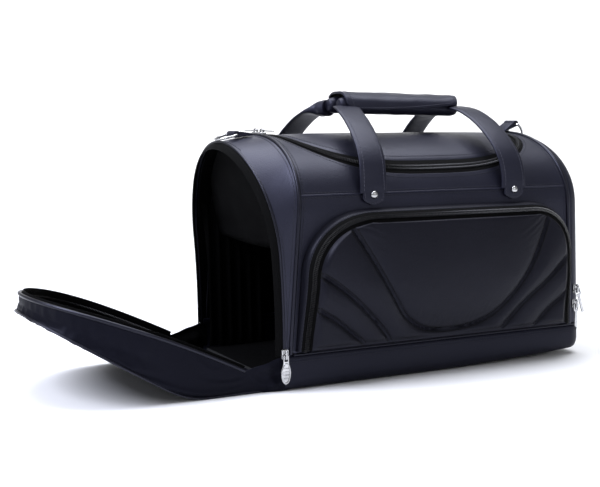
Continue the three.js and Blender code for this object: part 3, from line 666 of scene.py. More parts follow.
def body_grid(s, q):
    """Points of the bag's skin on a grid: s from the left to the right piping, q along the section."""
    y, z = MAIN.at(q)
    return grid(lerp(left_seam(z) + SEAM_TUCK, right_seam(z) - SEAM_TUCK, np.asarray(s)[:, None]), y, z)


# ---------------------------------------------------------------- base
def base_outline(inset):
    """The base's plan, from the front left corner round the right end to the back left corner."""
    right, half, round_r = BASE_HIGH.x + 3 * MM - inset, HALF_WIDTH - inset, 24 * MM - inset
    x, y = right - round_r, half - round_r
    front = [(lerp(BASE_LOW.x, x, t), -half) for t in np.linspace(0, 1, 40)]
    corner = np.linspace(-math.pi / 2, 0, 12)[1:]
    front += [(x + round_r * math.cos(a), -y + round_r * math.sin(a)) for a in corner]
    side = [(right, level) for level in np.linspace(-y, y, 26)[1:-1]]
    back = [(x, -y) for x, y in reversed(front)]
    return np.array(front + side + back)


def base_lift(x):
    """How far the soft base curls up off the ground towards its right end."""
    return 8 * MM * np.clip((x + 20 * MM) / 0.24, 0, 1) ** 1.8


def base_skirt():
    top = BASE_TOP / MM
    # (inset, height) in mm, from the top seam down to the ground
    profile = [(3.4, top + 6), (3.2, top + 1.5), (1.2, top - 0.2), (0.3, top - 1.2), (0, top - 3)]
    profile += [(-0.5, top - 10), (-0.8, top / 2), (-0.4, 12), (0.6, 6.5), (2.4, 3), (5, 1), (9, 0)]
    rows = []
    for inset, z in profile:
        plan = base_outline(inset * MM)
        rows.append(grid(plan[:, 0], plan[:, 1], z * MM))
    spine = grid(np.clip(rows[-1][:, 0], None, 0.19), 0, rows[-1][:, 2])
    rows += [lerp(rows[-1], spine, t) for t in (0.1, 0.3, 0.55, 0.8, 0.97)]
    points = np.stack(rows)
    points[..., 2] += base_lift(points[..., 0]) * smooth(30 * MM - points[..., 2], 0, 26 * MM)
    waves = wrinkle(points, 0.06, 0.7 * MM, 3.0)
    side = (points[..., 2] > 4 * MM) & (points[..., 2] < BASE_TOP - 4 * MM)
    points = pushed(points, unit(points * [0.4, 1, 0]), np.where(side, waves, 0))
    below = (points - np.array([0, 0, 0.02])) * [0.5, 1, 1]
    skirt = thick_sheet("base_skirt", points, SKIN * 0.9, below, NAVY_LEATHER)
    return finish_piece(skirt, "bag", "navy_leather", "base_panel")


# ---------------------------------------------------------------- panels and bands
def wall_panel(name, side, node, puff):
    """The lower front or back panel, from the base seam up to the mid seam."""
    heights = np.linspace(PANEL_FOOT - 3 * MM, SEAM_Z - 0.4 * MM, 34)
    points = body_grid(np.linspace(0, 1, 70), side * np.array([MAIN.q_at_z(z) for z in heights]))
    out = normals_facing(points, away_from_core)
    points = relaxed(points, edge_pins(points), out, puff, 3 * MM)
    points = pushed(points, out, wrinkle(points, 0.09, 0.8 * MM, 5.0 + side) * edge_fade(points))
    panel = thick_sheet(name, points, WALL, away_from_core, BODY_LEATHER)
    return finish_piece(panel, "bag", "leather", node)


# A lid outline is its half length and its reach to the front and to the back.
LID_CUT = (184 * MM, 116 * MM, 104 * MM)
LID_TEETH = (178 * MM, 110 * MM, 99 * MM)
LID_EDGE = (168.5 * MM, 101.5 * MM, 96 * MM)


def lid_outline(outline, degrees, grow=0.0):
    """(x, y) on a lid outline: 0 degrees is the left end, 90 the front, 180 the right end, 270 the back."""
    half, front, back = (size + grow for size in outline)
    angle = np.radians(np.asarray(degrees, float))
    c, s = np.cos(angle), np.sin(angle)
    power = np.where(s >= 0, 3.2, 6.0)
    x = -half * np.sign(c) * np.abs(c) ** (2 / power)
    return x, np.where(s >= 0, -front, back) * np.abs(s) ** (2 / power)


def crown_arc():
    """Tables of y, the distance along the crown from its middle, and z."""
    y = np.linspace(0, MAIN.wide * 0.99999, 3000)
    z = MAIN.crown_z(y)
    return y, run_of(np.column_stack([y, z])), z


ARC_Y, ARC_RUN, ARC_Z = crown_arc()


def unrolled(y):
    return np.sign(y) * np.interp(np.abs(y), ARC_Y, ARC_RUN)


def on_crown(x, run):
    """The crown's point at x and a distance along the section from its middle."""
    away = np.abs(run)
    return grid(x, np.sign(run) * np.interp(away, ARC_RUN, ARC_Y), np.interp(away, ARC_RUN, ARC_Z))


def lid_path(outline, degrees, grow=0.0, drop=0.0):
    """A lid outline laid on the crown."""
    x, y = lid_outline(outline, degrees, grow)
    return on_crown(x, unrolled(y)) - [0, 0, drop]


def seam_reach(x, z):
    """How far a panel reaches from the bag's middle at height z, on the side where x lies."""
    return np.where(x < 0, -(left_seam(z) + SEAM_TUCK), right_seam(z) - SEAM_TUCK)


def yoke(name, side, node):
    """One half of the crown, from the mid seam to the lid's cut, on rays from the middle of the lid."""
    seam_run = float(np.interp(-SEAM_Z, -ARC_Z, ARC_RUN))
    start = 0 if side < 0 else 180
    corners = np.linspace(12, 168, 260)[1:-1]
    turns = start + np.concatenate([np.linspace(0, 12, 16), corners, np.linspace(168, 180, 16)])
    cut_x, cut_y = lid_outline(LID_CUT, turns)
    cut_run = unrolled(cut_y)
    grow = np.ones_like(cut_x)
    for _ in range(6):
        z = np.interp(np.minimum(np.abs(cut_run) * grow, seam_run), ARC_RUN, ARC_Z)
        to_end = seam_reach(cut_x, z) / np.maximum(np.abs(cut_x), 1e-9)
        grow = np.minimum(to_end, seam_run / np.maximum(np.abs(cut_run), 1e-9))
    share = lerp(1, grow, np.linspace(0, 1, 14)[:, None])
    points = on_crown(cut_x * share, cut_run * share)
    x = points[..., 0]
    points[..., 0] = np.sign(x) * np.minimum(np.abs(x), seam_reach(x, points[..., 2]))
    out = normals_facing(points, away_from_core)
    points = relaxed(points, edge_pins(points), out, 1.2, 2 * MM)
    piece = thick_sheet(name, points, WALL, away_from_core, BODY_LEATHER)
    return finish_piece(piece, "bag", "leather", node)


def left_band():
    q = ease_to_arch(150)
    y, z = MAIN.at(q)
    z = np.maximum(z, RIM.foot)
    seam = grid(left_seam(z) - SEAM_TUCK, y, z)
    y, z = RIM.at(q)
    points = np.stack([lerp(seam, grid(opening_x(z), y, z), t) for t in np.linspace(0, 1, 18)])
    points[:, 0, 2] = points[:, -1, 2] = RIM.foot
    out = normals_facing(points, away_from_core)
    points = relaxed(points, edge_pins(points), out, 2.0, 2.4 * MM)
    points = pushed(points, out, wrinkle(points, 0.05, 0.9 * MM, 8.0) * edge_fade(points, 4))
    band = thick_sheet("left_band", points, SKIN * 0.85, away_from_core, BAND_LEATHER)
    return finish_piece(band, "bag", "leather", "left_end_band")


def right_end():
    """The right band, which rounds the corner, and the slightly domed end face."""
    q = ease_to_arch(150)
    seam = right_seam(MAIN.at(q)[1])
    rows = []
    for turn in np.linspace(0, math.radians(87), 12):
        y, z = MAIN.inset(q, END_ROUND * (1 - math.cos(turn)))
        rows.append(grid(seam + PIPING_ROOM + END_ROUND * math.sin(turn), y, z))
    rows[0][:, 0] -= PIPING_ROOM - SEAM_TUCK
    points = np.stack(rows)
    band = thick_sheet("right_band", points, WALL, away_from_core(points) + [0.08, 0, 0], BODY_LEATHER)
    finish_piece(band, "bag", "leather", "right_end_band")

    q = np.linspace(1, 0.03, 44)[:, None]
    y, z = MAIN.inset(q, END_ROUND + SEAM_TUCK)
    x = right_seam(MAIN.at(q)[1]) + PIPING_ROOM + END_ROUND - 0.4 * MM
    t = np.linspace(-1, 1, 48)
    dome = 5 * MM * (1 - t**2) * np.sin(math.pi * np.clip((1 - q) * 1.15 + 0.05, 0, 1))
    ahead = np.array([1.0, 0, 0])
    panel = grid(x + np.maximum(0, dome), t * y, z)
    panel = relaxed(panel, edge_pins(panel), ahead, 1.5, 4 * MM)
    end = thick_sheet("right_end_face", panel, WALL, ahead, BODY_LEATHER)
    finish_piece(end, "bag", "leather", "right_end_panel")
    return band, end


def seam_piping(name, node, seam, inset, shift):
    q = ease_to_arch(150)
    y, z = MAIN.inset(q, inset)
    path = grid(seam(MAIN.at(q)[1]) + shift, y, z)
    out = grid(0, y, np.maximum(z - 0.15, 0))
    return finish_piece(tube(name, path, PIPING_R, out, PIPING_LEATHER), "bag", "piping", node)


def base_cord():
    plan = base_outline(0.4 * MM)
    path = grid(plan[:, 0], plan[:, 1], BASE_TOP + 1.6 * MM)
    path = path[path[:, 0] > BASE_LOW.x + 8 * MM]
    cord = tube("base_seam_cord", path, 1.4 * MM, UP, PIPING_LEATHER, sides=8)
    return finish_piece(cord, "bag", "piping", "base_piping")


def lid():
    """The crowned lid: rings of the lid's outline, shrinking to its middle."""
    x, y = lid_outline(LID_EDGE, np.linspace(0, 360, 220, endpoint=False))
    run = unrolled(y)
    shares = np.concatenate([[1, 0.992, 0.98, 0.96], np.linspace(0.93, 0.03, 26)])[:, None]
    points = on_crown(x * shares, run * shares)
    up = normals_facing(points, away_from_core, wrap=True)
    puff = 1.2 * MM * (1 - shares**6)
    droop = np.exp(-((shares - 1) / 0.01) ** 2) * -0.8 * MM
    points = pushed(points, up, puff + droop)
    points = relaxed(points, end_pins(points), up, 1.0, 1.5 * MM, wrap=True)
    points = pushed(points, up, wrinkle(points, 0.11, 0.9 * MM, 2.0) * smooth(1 - shares, 0, 0.12))
    top = thick_sheet("lid_cover", points, WALL, away_from_core, BODY_LEATHER, wrap=True)
    rings, columns = points.shape[:2]
    with edited(top.data) as bm:
        bm.verts.ensure_lookup_table()
        for layer in (1, 2):
            last = bm.verts[(layer * rings - 1) * columns : layer * rings * columns]
            middle = sum((vertex.co for vertex in last), Vector((0, 0, 0))) / columns
            for vertex in last:
                vertex.co = middle
        bmesh.ops.remove_doubles(bm, verts=bm.verts, dist=1e-6)
        flat = [face for face in bm.faces if face.calc_area() < 1e-12]
        bmesh.ops.delete(bm, geom=flat, context="FACES")
        bmesh.ops.recalc_face_normals(bm, faces=bm.faces)
    return finish_piece(top, "lid", "leather", "lid_panel")


def ribbon(name, first, second, thickness, outwards, body, node, steps=4, crown=0.0):
    """A zip's flat tape between two edge paths, a little crowned across."""
    t = np.linspace(0, 1, steps)
    points = np.stack([lerp(first, second, k) for k in t])
    points = pushed(points, normals_facing(points, outwards), crown * np.sin(math.pi * t)[:, None])
    tape = thick_sheet(name, points, thickness, outwards, TAPE_CLOTH, round_edge=0)
    return finish_piece(tape, body, "zip_tape", node)


def zip_teeth(name, path, towards, up, body, size=1.5 * MM, phase=0.0):
    """A row of coil teeth along a tape's edge. towards points at the other row."""
    pitch = 2.1 * MM
    spots = spaced(path, pitch)
    at, along_path = np.linspace(0, 1, len(spots)), np.linspace(0, 1, len(path))
    ahead, rise = (
        unit(np.stack([np.interp(at, along_path, values) for values in rows.T], -1)) for rows in (towards, up)
    )
    ring = ((-0.5, 0.0), (-0.36, 0.62), (0.0, 0.86), (0.36, 0.62), (0.5, 0.0), (0.0, -0.2))
    profile = ((-1.1, 0.8), (-0.6, 1.0), (0.55, 1.0), (1.0, 0.55))
    vertices, faces = [], []
    for p, t, a, u in zip(spots, unit(np.gradient(spots, axis=0)), ahead, rise):
        middle = p + t * pitch * phase
        outline = [t * side * pitch * 0.62 + u * high * size for side, high in ring]
        rings = [[middle + a * along * size + corner * wide for corner in outline] for along, wide in profile]
        add_bead(vertices, faces, rings)
    return finish_piece(new_object(name, vertices, faces, [TEETH]), body, "zip_tape")


def lid_zip():
    """Both halves of the lid's zip, from the rear left corner round the front to the rear right corner."""
    turns = [np.linspace(315, 360, 40)[:-1], np.linspace(0, 180, 220), np.linspace(180, 225, 40)[1:]]
    degrees = np.concatenate(turns)

    def path(outline, grow, drop):
        return lid_path(outline, degrees, grow * MM, drop * MM)

    up = unit(away_from_core(path(LID_TEETH, 0, 0)))
    teeth = path(LID_TEETH, 0, 0.3)
    halves = (
        ("outer", "bag", "lid_zip_body_tape", 1, path(LID_CUT, 1.5, 1.4), 0.0),
        ("inner", "lid", "lid_zip_tape", -1, path(LID_EDGE, -2, 0.8), 0.5),
    )
    for half, body, node, sign, edge, phase in halves:
        edges = (path(LID_TEETH, 0.6 * sign, 0.9), edge)[::-sign]
        ribbon(f"lid_zip_{half}_tape", *edges, 0.9 * MM, away_from_core, body, node)
        line = path(LID_TEETH, 1.3 * sign, 0.2)
        zip_teeth(f"lid_teeth_{half}", line, teeth - line, up, body, phase=phase)


def lid_hinge_strip():
    """The leather fold that joins the lid to the back yoke."""
    x = np.linspace(-150 * MM, 150 * MM, 50)
    runs = unrolled(np.linspace(93.5 * MM, 106.5 * MM, 12))
    points = on_crown(x, runs[:, None])
    points[..., 2] -= 2.2 * MM + 1.2 * MM * np.sin(np.linspace(0, math.pi, 12))[:, None]
    strip = thick_sheet("lid_fold", points, 1.4 * MM, away_from_core, BODY_LEATHER, round_edge=0)
    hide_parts("lid_hinge")
    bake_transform(strip)
    return strip


# ---------------------------------------------------------------- shoe opening
def end_zip():
    """The bag's half of the shoe opening's zip: the tape turns inwards from the band's rim."""
    q = ease_to_arch(190)
    rim_y, rim_z = RIM.at(q)
    reach = opening_x(rim_z)
    outer, inner = grid(reach - 1 * MM, rim_y, rim_z), grid(reach - 9 * MM, *RIM_INNER.at(q))

    def ahead(points):
        return away_from_core(points) - [0.2, 0, 0]

    ribbon("end_zip_tape", outer, lerp(outer, inner, 0.9), 1.1 * MM, ahead, "bag", "end_zip_body_tape",
           steps=6, crown=1.0 * MM)
    edge = lerp(outer, inner, 0.86)
    line = edge + [1.2 * MM, 0, 0]
    up = np.broadcast_to([-1.0, 0, 0], line.shape)
    zip_teeth("end_zip_teeth", line, lerp(outer, inner, 1.2) - edge, up, "bag", size=1.2 * MM)
    path = grid(reach - 0.6 * MM, rim_y * 0.9985, rim_z + 0.2 * MM)
    binding = tube("rim_binding", path, 1.7 * MM, away_from_core(path), PIPING_LEATHER, sides=8)
    finish_piece(binding, "bag", "leather")


# ---------------------------------------------------------------- lining
def divider():
    """The lining sheet that parts the shoe tunnel from the main compartment."""
    # x, z and half the width
    stations = [(-228, 278, 44), (-218, 240, 88), (-200, 188, 112), (-176, 158, 120), (-40, 153, 121),
                (90, 150, 121), (108, 136, 121), (112, 70, 120), (113, 8, 119)]
    rows, columns = 90, 50
    x, z, half = curve_through(np.array(stations) * MM, rows).T[:, :, None]
    t = np.linspace(-1, 1, columns)
    sag = 2.5 * MM * (1 - t**2) * np.sin(np.linspace(0, math.pi, rows))[:, None]
    points = grid(x, half * t, z - sag)
    above = normals_facing(points, [0.6, 0, 1.0])
    points = pushed(points, above, wrinkle(points, 0.035, 1.6 * MM, 4.0) * edge_fade(points, 6))
    sheet = thick_sheet("shoe_tunnel_roof", points, 1.2 * MM, above, LINING, round_edge=0)
    finish_piece(sheet, "bag", "lining", "shoe_divider")
    return sheet


def curtain():
    """Loose black lining that hangs in soft vertical folds just inside the shoe opening, on both walls."""
    z = np.linspace(9 * MM, 205 * MM, 50)
    along = np.linspace(0, 82 * MM, 60)[:, None]
    reach = np.clip(opening_x(z) + 8 * MM, -262 * MM, -205 * MM)
    folds = 3.2 * MM * np.sin(along * 2 * math.pi / (15 * MM) + 0.8 * np.sin(z * 21))
    depth = 116.5 * MM - folds * smooth(z, 0, 0.03)
    for name, side in (("front_curtain", -1), ("back_curtain", 1)):
        points = grid(reach + along, side * depth, z)
        piece = thick_sheet(name, points, 0.9 * MM, FRONT * side, LINING, round_edge=0)
        finish_piece(piece, "bag", "lining")


def floor_board():
    """The stiff board in the base, under a layer of lining."""
    low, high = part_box("base_board")
    end, corner_r = high.x - 6 * MM, 28 * MM
    x = np.linspace(low.x, end, 60)[:, None]
    y = np.linspace(low.y + 1 * MM, high.y - 1 * MM, 40)
    corner = np.maximum(0, np.abs(y) - (high.y - corner_r))
    x = np.minimum(x, end - corner_r + np.sqrt(np.maximum(0, corner_r**2 - corner**2)))
    points = grid(x, y, high.z + 0.9 * MM)
    points[..., 2] += base_lift(points[..., 0])
    board = thick_sheet("base_stiffener", points - UP * 0.9 * MM, high.z - low.z, UP, BOARD, round_edge=0)
    finish_piece(board, "bag", "board", "base_board")
    points[..., 2] += np.abs(wrinkle(points, 0.04, 1.0 * MM, 6.0)) * edge_fade(points)
    cloth = thick_sheet("tunnel_floor_cloth", points, 0.6 * MM, UP, LINING, round_edge=0)
    finish_piece(cloth, "bag", "lining")


# ---------------------------------------------------------------- front pocket
POCKET_FOOT, POCKET_TOP = 47 * MM, 212 * MM


def pocket_depth(z):
    return lerp(13 * MM, 22 * MM, smooth(z, POCKET_FOOT, 130 * MM))


def pocket_arch(inset):
    """(x, z) of the pocket's arch at an inset, from the left foot over the top to the right foot."""
    def half(foot_x, lean, width, height, side):
        spring = POCKET_TOP - height
        z = np.linspace(POCKET_FOOT + inset * 0.12, spring, 60)[:-1]
        leg = np.column_stack([side * (foot_x - inset - lean * z), z])
        angle = np.linspace(0, math.pi / 2, 70)
        x = foot_x - lean * spring - width + (width - inset) * np.cos(angle) ** 0.9
        z = spring + (height - inset) * np.sin(angle) ** 0.9
        return np.concatenate([leg, np.column_stack([side * x, z])])

    left = half(208 * MM, 0.07, 95 * MM, 82 * MM, -1)
    right = half(211 * MM, 0.075, 72 * MM, 74 * MM, 1)
    top = np.linspace(left[-1], right[-1], 90)[1:-1]
    return resampled(np.concatenate([left, top, right[::-1]]), 320)


def pocket_point(xz, rise):
    """Points at (x, z) that stand out of the wall by a share of the pocket's depth."""
    x, z = xz[..., 0], xz[..., 1]
    return grid(x, -MAIN.wall_y(z) - rise * pocket_depth(z), z)


def pocket_line(inset, rise):
    """The pocket's arch at an inset in millimetres."""
    return pocket_point(pocket_arch(inset * MM), rise)


def pocket_frame():
    """The pocket's raised rim, its two zip tapes and the teeth between them."""
    # (inset in mm, share of the pocket's depth)
    profile = ((-1.5, -0.08), (-0.6, 0.0), (-0.2, 0.16), (0.3, 0.32), (1.2, 0.47), (2.6, 0.56), (3.6, 0.57),
               (4.2, 0.5))
    rows = np.stack([pocket_line(inset, rise) for inset, rise in profile])
    out = FRONT * 0.5 + rows * [1, 0, 1] - [0, 0, CORE_Z]
    rim = thick_sheet("pocket_welt", rows, 1.4 * MM, out, POCKET_LEATHER, round_edge=0)
    finish_piece(rim, "bag", "leather", "pocket_rim")
    teeth = pocket_line(7.9, 0.85)
    up = np.broadcast_to(FRONT, teeth.shape)
    halves = (("outer", "bag", (3.0, 0.57), (7.7, 0.81), (6.9, 0.83), 0.0),
              ("inner", "pocket", (8.3, 0.83), (15.5, 0.96), (9.0, 0.87), 0.5))
    for half, body, first, second, row, phase in halves:
        ribbon(f"pocket_zip_{half}_tape", pocket_line(*first), pocket_line(*second), 0.9 * MM, FRONT, body,
               f"pocket_zip_{half}", crown=0.3 * MM)
        line = pocket_line(*row)
        zip_teeth(f"pocket_teeth_{half}", line, teeth - line, up, body, phase=phase)
    return rim


def quilt_lines():
    """The sewn channels, a bowl and nested arcs: (x, z) paths, with half the gap between their two seams."""
    channels = (
        (1.7, (-145, 196), (-124, 167), (-104, 138), (-82, 105), (-62, 79), (-36, 63), (-2, 58), (42, 62),
         (77, 77), (108, 109), (131, 146), (152, 196)),
        (1.7, (-198, 147), (-166, 128), (-134, 104), (-96, 68), (-80, 46)),
        (1.1, (-203, 107), (-178, 93), (-154, 78), (-112, 45)),
        (1.7, (186, 141), (174, 130), (148, 107), (119, 84), (86, 50)),
        (1.1, (190, 93), (181, 85), (162, 71), (140, 50)),
    )
    return [(curve_through(np.array(points) * MM, 120), apart * MM) for apart, *points in channels]


def distance_to(points, path):
    """The distance from each (x, z) to a path."""
    a, b = path[:-1], path[1:]
    span = b - a
    rel = points[..., None, :] - a
    t = np.clip((rel * span).sum(-1) / np.maximum((span**2).sum(-1), 1e-12), 0, 1)
    return np.linalg.norm(rel - t[..., None] * span, axis=-1).min(-1)


def quilted_pocket():
    """The padded pocket front: cloth pinned at its edge and its sewn channels, which swells between them."""
    outline = pocket_arch(14.6 * MM)
    low = outline[:, 1].min()
    columns, rows = 220, 110
    levels = low + (POCKET_TOP - 14.8 * MM - low) * (1 - (1 - np.linspace(0, 1, rows)) ** 1.5)
    middle = len(outline) // 2
    left_x, right_x = (np.interp(levels, side[:, 1], side[:, 0])[:, None]
                       for side in (outline[:middle], outline[middle:][::-1]))
    levels = levels[:, None]
    t = np.linspace(0, 1, columns)
    flat = np.stack(np.broadcast_arrays(lerp(left_x, right_x, t), levels), -1)
    bulge = np.sin(math.pi * t) ** 0.5 * np.sin(math.pi * np.clip((levels - 30 * MM) / (190 * MM), 0, 1))
    points = pocket_point(flat, 0.96 + np.maximum(0, 0.20 * bulge))
    nearest = np.min([distance_to(flat, path) for path, _ in quilt_lines()], axis=0)
    groove = np.exp(-((nearest / (3.0 * MM)) ** 2))
    border = edge_fade(points, 4)
    out = normals_facing(points, FRONT)
    pillow = 5.6 * MM * (1 - np.exp(-nearest / (10 * MM)))
    points = pushed(points, out, (pillow - 2.4 * MM * groove) * border)
    points = relaxed(points, (nearest < 3.2 * MM) | edge_pins(points), out, 2.6, 3 * MM, stiffness=18)
    pucker = smooth(nearest, 2 * MM, 5 * MM) * np.exp(-nearest / (8 * MM)) * border
    points = pushed(points, out, wrinkle(points, 0.012, 0.6 * MM, 9.0) * pucker)
    front = thick_sheet("pocket_front", points, WALL, FRONT, POCKET_LEATHER)
    finish_piece(front, "pocket", "pocket_leather", "pocket_panel")
    return front


def pocket_stitching(front, rim):
    paths = []
    for path, apart in quilt_lines():
        normal = unit(np.gradient(path, axis=0)[:, ::-1] * [-1, 1])
        for line in (path + normal * apart, path - normal * apart):
            paths.append(pocket_point(line[(line[:, 1] < 195 * MM) & (line[:, 1] > 50 * MM)], 1.2))
    # The quilt stitches' near-black colour also paints the shade in the sewn channels.
    made = stitches("quilt_stitches", paths, Surface(front), BLACK_THREAD_PAINTED_SHADE, FRONT, 3.4 * MM, 0.62 * MM)
    finish_piece(made, "pocket", "pocket_leather")
    made = stitches("welt_stitches", [pocket_line(2.6, 0.6)], Surface(rim), DARK_THREAD, FRONT)
    finish_piece(made, "bag", "leather")


def pocket_foot_fold():
    """The leather fold along the pocket's foot."""
    x = np.linspace(-188 * MM, 190 * MM, 90)[:, None]
    low, high = 43.5 * MM, 54 * MM
    t = np.linspace(0, 1, 10)
    top = MAIN.wall_y(high) + pocket_depth(high) * 0.97
    reach = lerp(HALF_WIDTH + 0.8 * MM, top, np.sin(t * math.pi / 2) ** 0.8)
    points = grid(x, -reach, lerp(low, high, t))
    fold = thick_sheet("pocket_foot_fold", points, 1.4 * MM, FRONT + DOWN * 0.4, POCKET_LEATHER)
    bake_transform(fold)


# ---------------------------------------------------------------- shoe flap
FLAP_SKIN_OFFSET = 3.5 * MM


def flap_side(offset):
    """The closed flap's side view as (x, z) about its hinge, offset to its outer face."""
    s = np.arange(0, 300) * MM
    heading = math.pi - FLAP_OPEN - np.radians(31) * smooth(s, 60 * MM, 130 * MM)
    step = np.stack([np.cos(heading), np.sin(heading)], -1) * MM
    run = np.concatenate([[[0, 0]], np.cumsum(step, axis=0)[:-1]])
    return run + offset * np.stack([-np.sin(heading), np.cos(heading)], -1)


OUTER_SIDE = flap_side(FLAP_SKIN_OFFSET)


def side_x(side, z):
    return np.interp(z, side[:, 1], side[:, 0])


def opened(points):
    """Points of the closed flap about its hinge, turned open, in the bag's frame."""
    c, s = math.cos(FLAP_OPEN), math.sin(FLAP_OPEN)
    x, y, z = points[..., 0], points[..., 1], points[..., 2]
    return np.stack([x * c - z * s + HINGE.x, y + HINGE.y, x * s + z * c + HINGE.z], -1)


def flap_edge(q):
    """The foot and the far edge of the flap's wall, on the closed flap."""
    y, z = FLAP_EDGE.at(q)
    return grid(side_x(OUTER_SIDE, z - HINGE.z), y, z - HINGE.z)


def flap_rim(q, inset=0.0, further=0.0):
    """The free rim of the flap's wall, on the closed flap."""
    y, z = FLAP_RIM.inset(q, inset)
    return grid(opening_x(FLAP_RIM.at(q)[1]) - 12 * MM - HINGE.x - further, y, z - HINGE.z)


def from_flap_core(points):
    """Vectors out of the open flap's middle line, level with the ground."""
    return grid(np.minimum(0, points[..., 0] + 0.40), points[..., 1], -0.01)


def flap_wall():
    """The flap's soft side wall, with a long crease where it sags, and the cords along its edges."""
    q = np.linspace(-1, 1, 210)
    v = np.linspace(0, 1, 26)[:, None]
    points = opened(lerp(flap_edge(q), flap_rim(q), v[..., None]))
    out = normals_facing(points, from_flap_core)
    near_foot = smooth(1 - np.abs(q), 0, 0.08)
    crease = np.exp(-(((v - 0.52 - 0.12 * np.sin(q * 5)) / 0.13) ** 2)) * -3.2 * MM
    belly = 1.2 * MM * np.sin(math.pi * v) ** 0.8
    shift = (belly + crease + wrinkle(points * [0.45, 0.6, 1.6], 0.03, 1.5 * MM, 11.0)) * near_foot
    points = pushed(points, out, shift * smooth(np.minimum(v, 1 - v), 0, 0.12))
    points = relaxed(points, edge_pins(points), out, 0.5, 3 * MM, stiffness=8, gravity=0.4)
    points[..., 2] = np.maximum(points[..., 2], 0.9 * MM)
    wall = thick_sheet("flap_side_wall", points, SKIN * 0.75, from_flap_core, FLAP_LEATHER)
    finish_piece(wall, "flap", "navy_leather", "flap_wall")
    rim = opened(flap_rim(np.linspace(-1, 1, 260), 0.6 * MM)) + UP * 0.6 * MM
    base = opened(flap_edge(np.linspace(-1, 1, 220)) * [1, 0.995, 1])
    base[:, 2] = np.maximum(base[:, 2], 1.6 * MM)
    cords = (("flap_rim_binding", rim, 2.3 * MM, 10), ("flap_edge_piping", base, 1.5 * MM, 8))
    for name, path, radius, sides in cords:
        cord = tube(name, path, radius, (0.3, 0, 1), PIPING_LEATHER, sides)
        finish_piece(cord, "flap", "navy_leather")
    return wall


def flap_layer(name, node, deep, thickness, margin, material, slot, ripple=0.0, puff=0.0):
    """One of the flap's flat layers, at a depth under its outer face."""
    t = np.concatenate([np.linspace(0, 0.3, 34), np.linspace(0.3, 1, 60)[1:]])[:, None]
    z = lerp(FLAP_EDGE.foot + margin * 0.4, FLAP_EDGE.top - margin * 0.9, t)
    half = FLAP_EDGE.wall_y(np.minimum(z + margin * 0.6, FLAP_EDGE.top * 0.99985)) - margin
    z = z - HINGE.z
    points = opened(grid(side_x(flap_side(FLAP_SKIN_OFFSET - deep), z), half * np.linspace(-1, 1, 44), z))
    up = normals_facing(points, UP)
    points = pushed(points, up, (puff + wrinkle(points, 0.06, ripple, 13.0)) * edge_fade(points, 6))
    layer = thick_sheet(name, points, thickness, up if puff else -up, material, round_edge=0)
    return finish_piece(layer, "flap", slot, node)


def flap_inside():
    flap_layer("flap_underside", "flap_panel", 0.4 * MM, 1.6 * MM, 3.4 * MM, FLAP_LEATHER, "navy_leather")
    flap_layer("flap_board", "flap_stiffener", 3 * MM, 2.2 * MM, 6 * MM, BOARD, "foam")
    flap_layer("flap_lining_cloth", "flap_lining", 7.5 * MM, 1.0 * MM, 4.4 * MM, LINING, "lining",
               ripple=1.8 * MM, puff=0.6 * MM)
    q = np.linspace(-0.995, 0.995, 200)

    def inwards(points):
        return -from_flap_core(points)

    inner, outer = opened(flap_rim(q, 3.6 * MM, -6 * MM)), opened(flap_rim(q, 3.2 * MM, 4.4 * MM))
    ribbon("flap_zip_cloth", inner, outer, 1.0 * MM, inwards, "flap", "flap_zip_tape", crown=0.4 * MM)
    line = opened(flap_rim(q, 3.4 * MM, 4.6 * MM))
    zip_teeth("flap_zip_teeth", line, opened(flap_rim(q, 3.4 * MM, 7 * MM)) - line, inwards(line), "flap")


def gussets():
    """The soft folds that join the bag to the flap's walls and floor."""
    v = np.linspace(0, 1, 30)[:, None]
    u = np.linspace(0, 1, 26)
    fold = (2.2 * np.sin(v * 9) * np.sin(math.pi * u) + 1.2 * np.sin(u * 14)) * MM * np.sin(math.pi * u)
    for name, side in (("front_gusset", -1), ("back_gusset", 1)):
        on_flap = opened(lerp(flap_edge([side]), flap_rim([side]), v))
        on_bag = grid(-212 * MM, side * (HALF_WIDTH - 1.2 * MM), lerp(2 * MM, 44 * MM, v[:, 0]))
        points = pushed(lerp(on_bag[:, None], on_flap[:, None], u[:, None]), -FRONT * side, fold)
        points[..., 2] = np.maximum(points[..., 2], 0.8 * MM)
        piece = thick_sheet(name, points, 1.6 * MM, -FRONT * side, FLAP_LEATHER, round_edge=0)
        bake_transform(piece)
    y, z = np.linspace(-1, 1, 60), 5.2 * MM
    on_flap = opened(grid(side_x(flap_side(FLAP_SKIN_OFFSET - 1 * MM), z), 118 * MM * y, z))
    on_bag = grid(-211 * MM, 123 * MM * y, 3.4 * MM)
    t = np.linspace(0, 1, 16)[:, None]
    points = lerp(on_bag, on_flap, t[..., None])
    points[..., 2] = np.maximum(points[..., 2] - 1.4 * MM * np.sin(math.pi * t), 1.7 * MM)
    fold = thick_sheet("flap_floor_fold", points, -1.2 * MM, DOWN, FLAP_LEATHER, round_edge=0)
    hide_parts("flap_hinge")
    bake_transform(fold)


# ---------------------------------------------------------------- handles
# (outwards, up) from the handle's pivot, in mm
STRAP_PATH = ((1.5, -9), (1.2, 2), (-1, 14), (-6, 29), (-17, 45), (-35, 62), (-58, 78), (-81, 89),
              (-96.5, 93.5), (-108, 95))
STRAP_X = {"left": -102 * MM, "right": 109 * MM}
STRAP_END_X = {"left": -82 * MM, "right": 97 * MM}
GRIP_LOW, GRIP_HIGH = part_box("front_grip")
GRIP_Y = -(GRIP_LOW.y + GRIP_HIGH.y) / 2
GRIP_R = (GRIP_HIGH.y - GRIP_LOW.y) / 2
GRIP_Z = (GRIP_HIGH.z - GRIP_R, GRIP_LOW.z + GRIP_R)


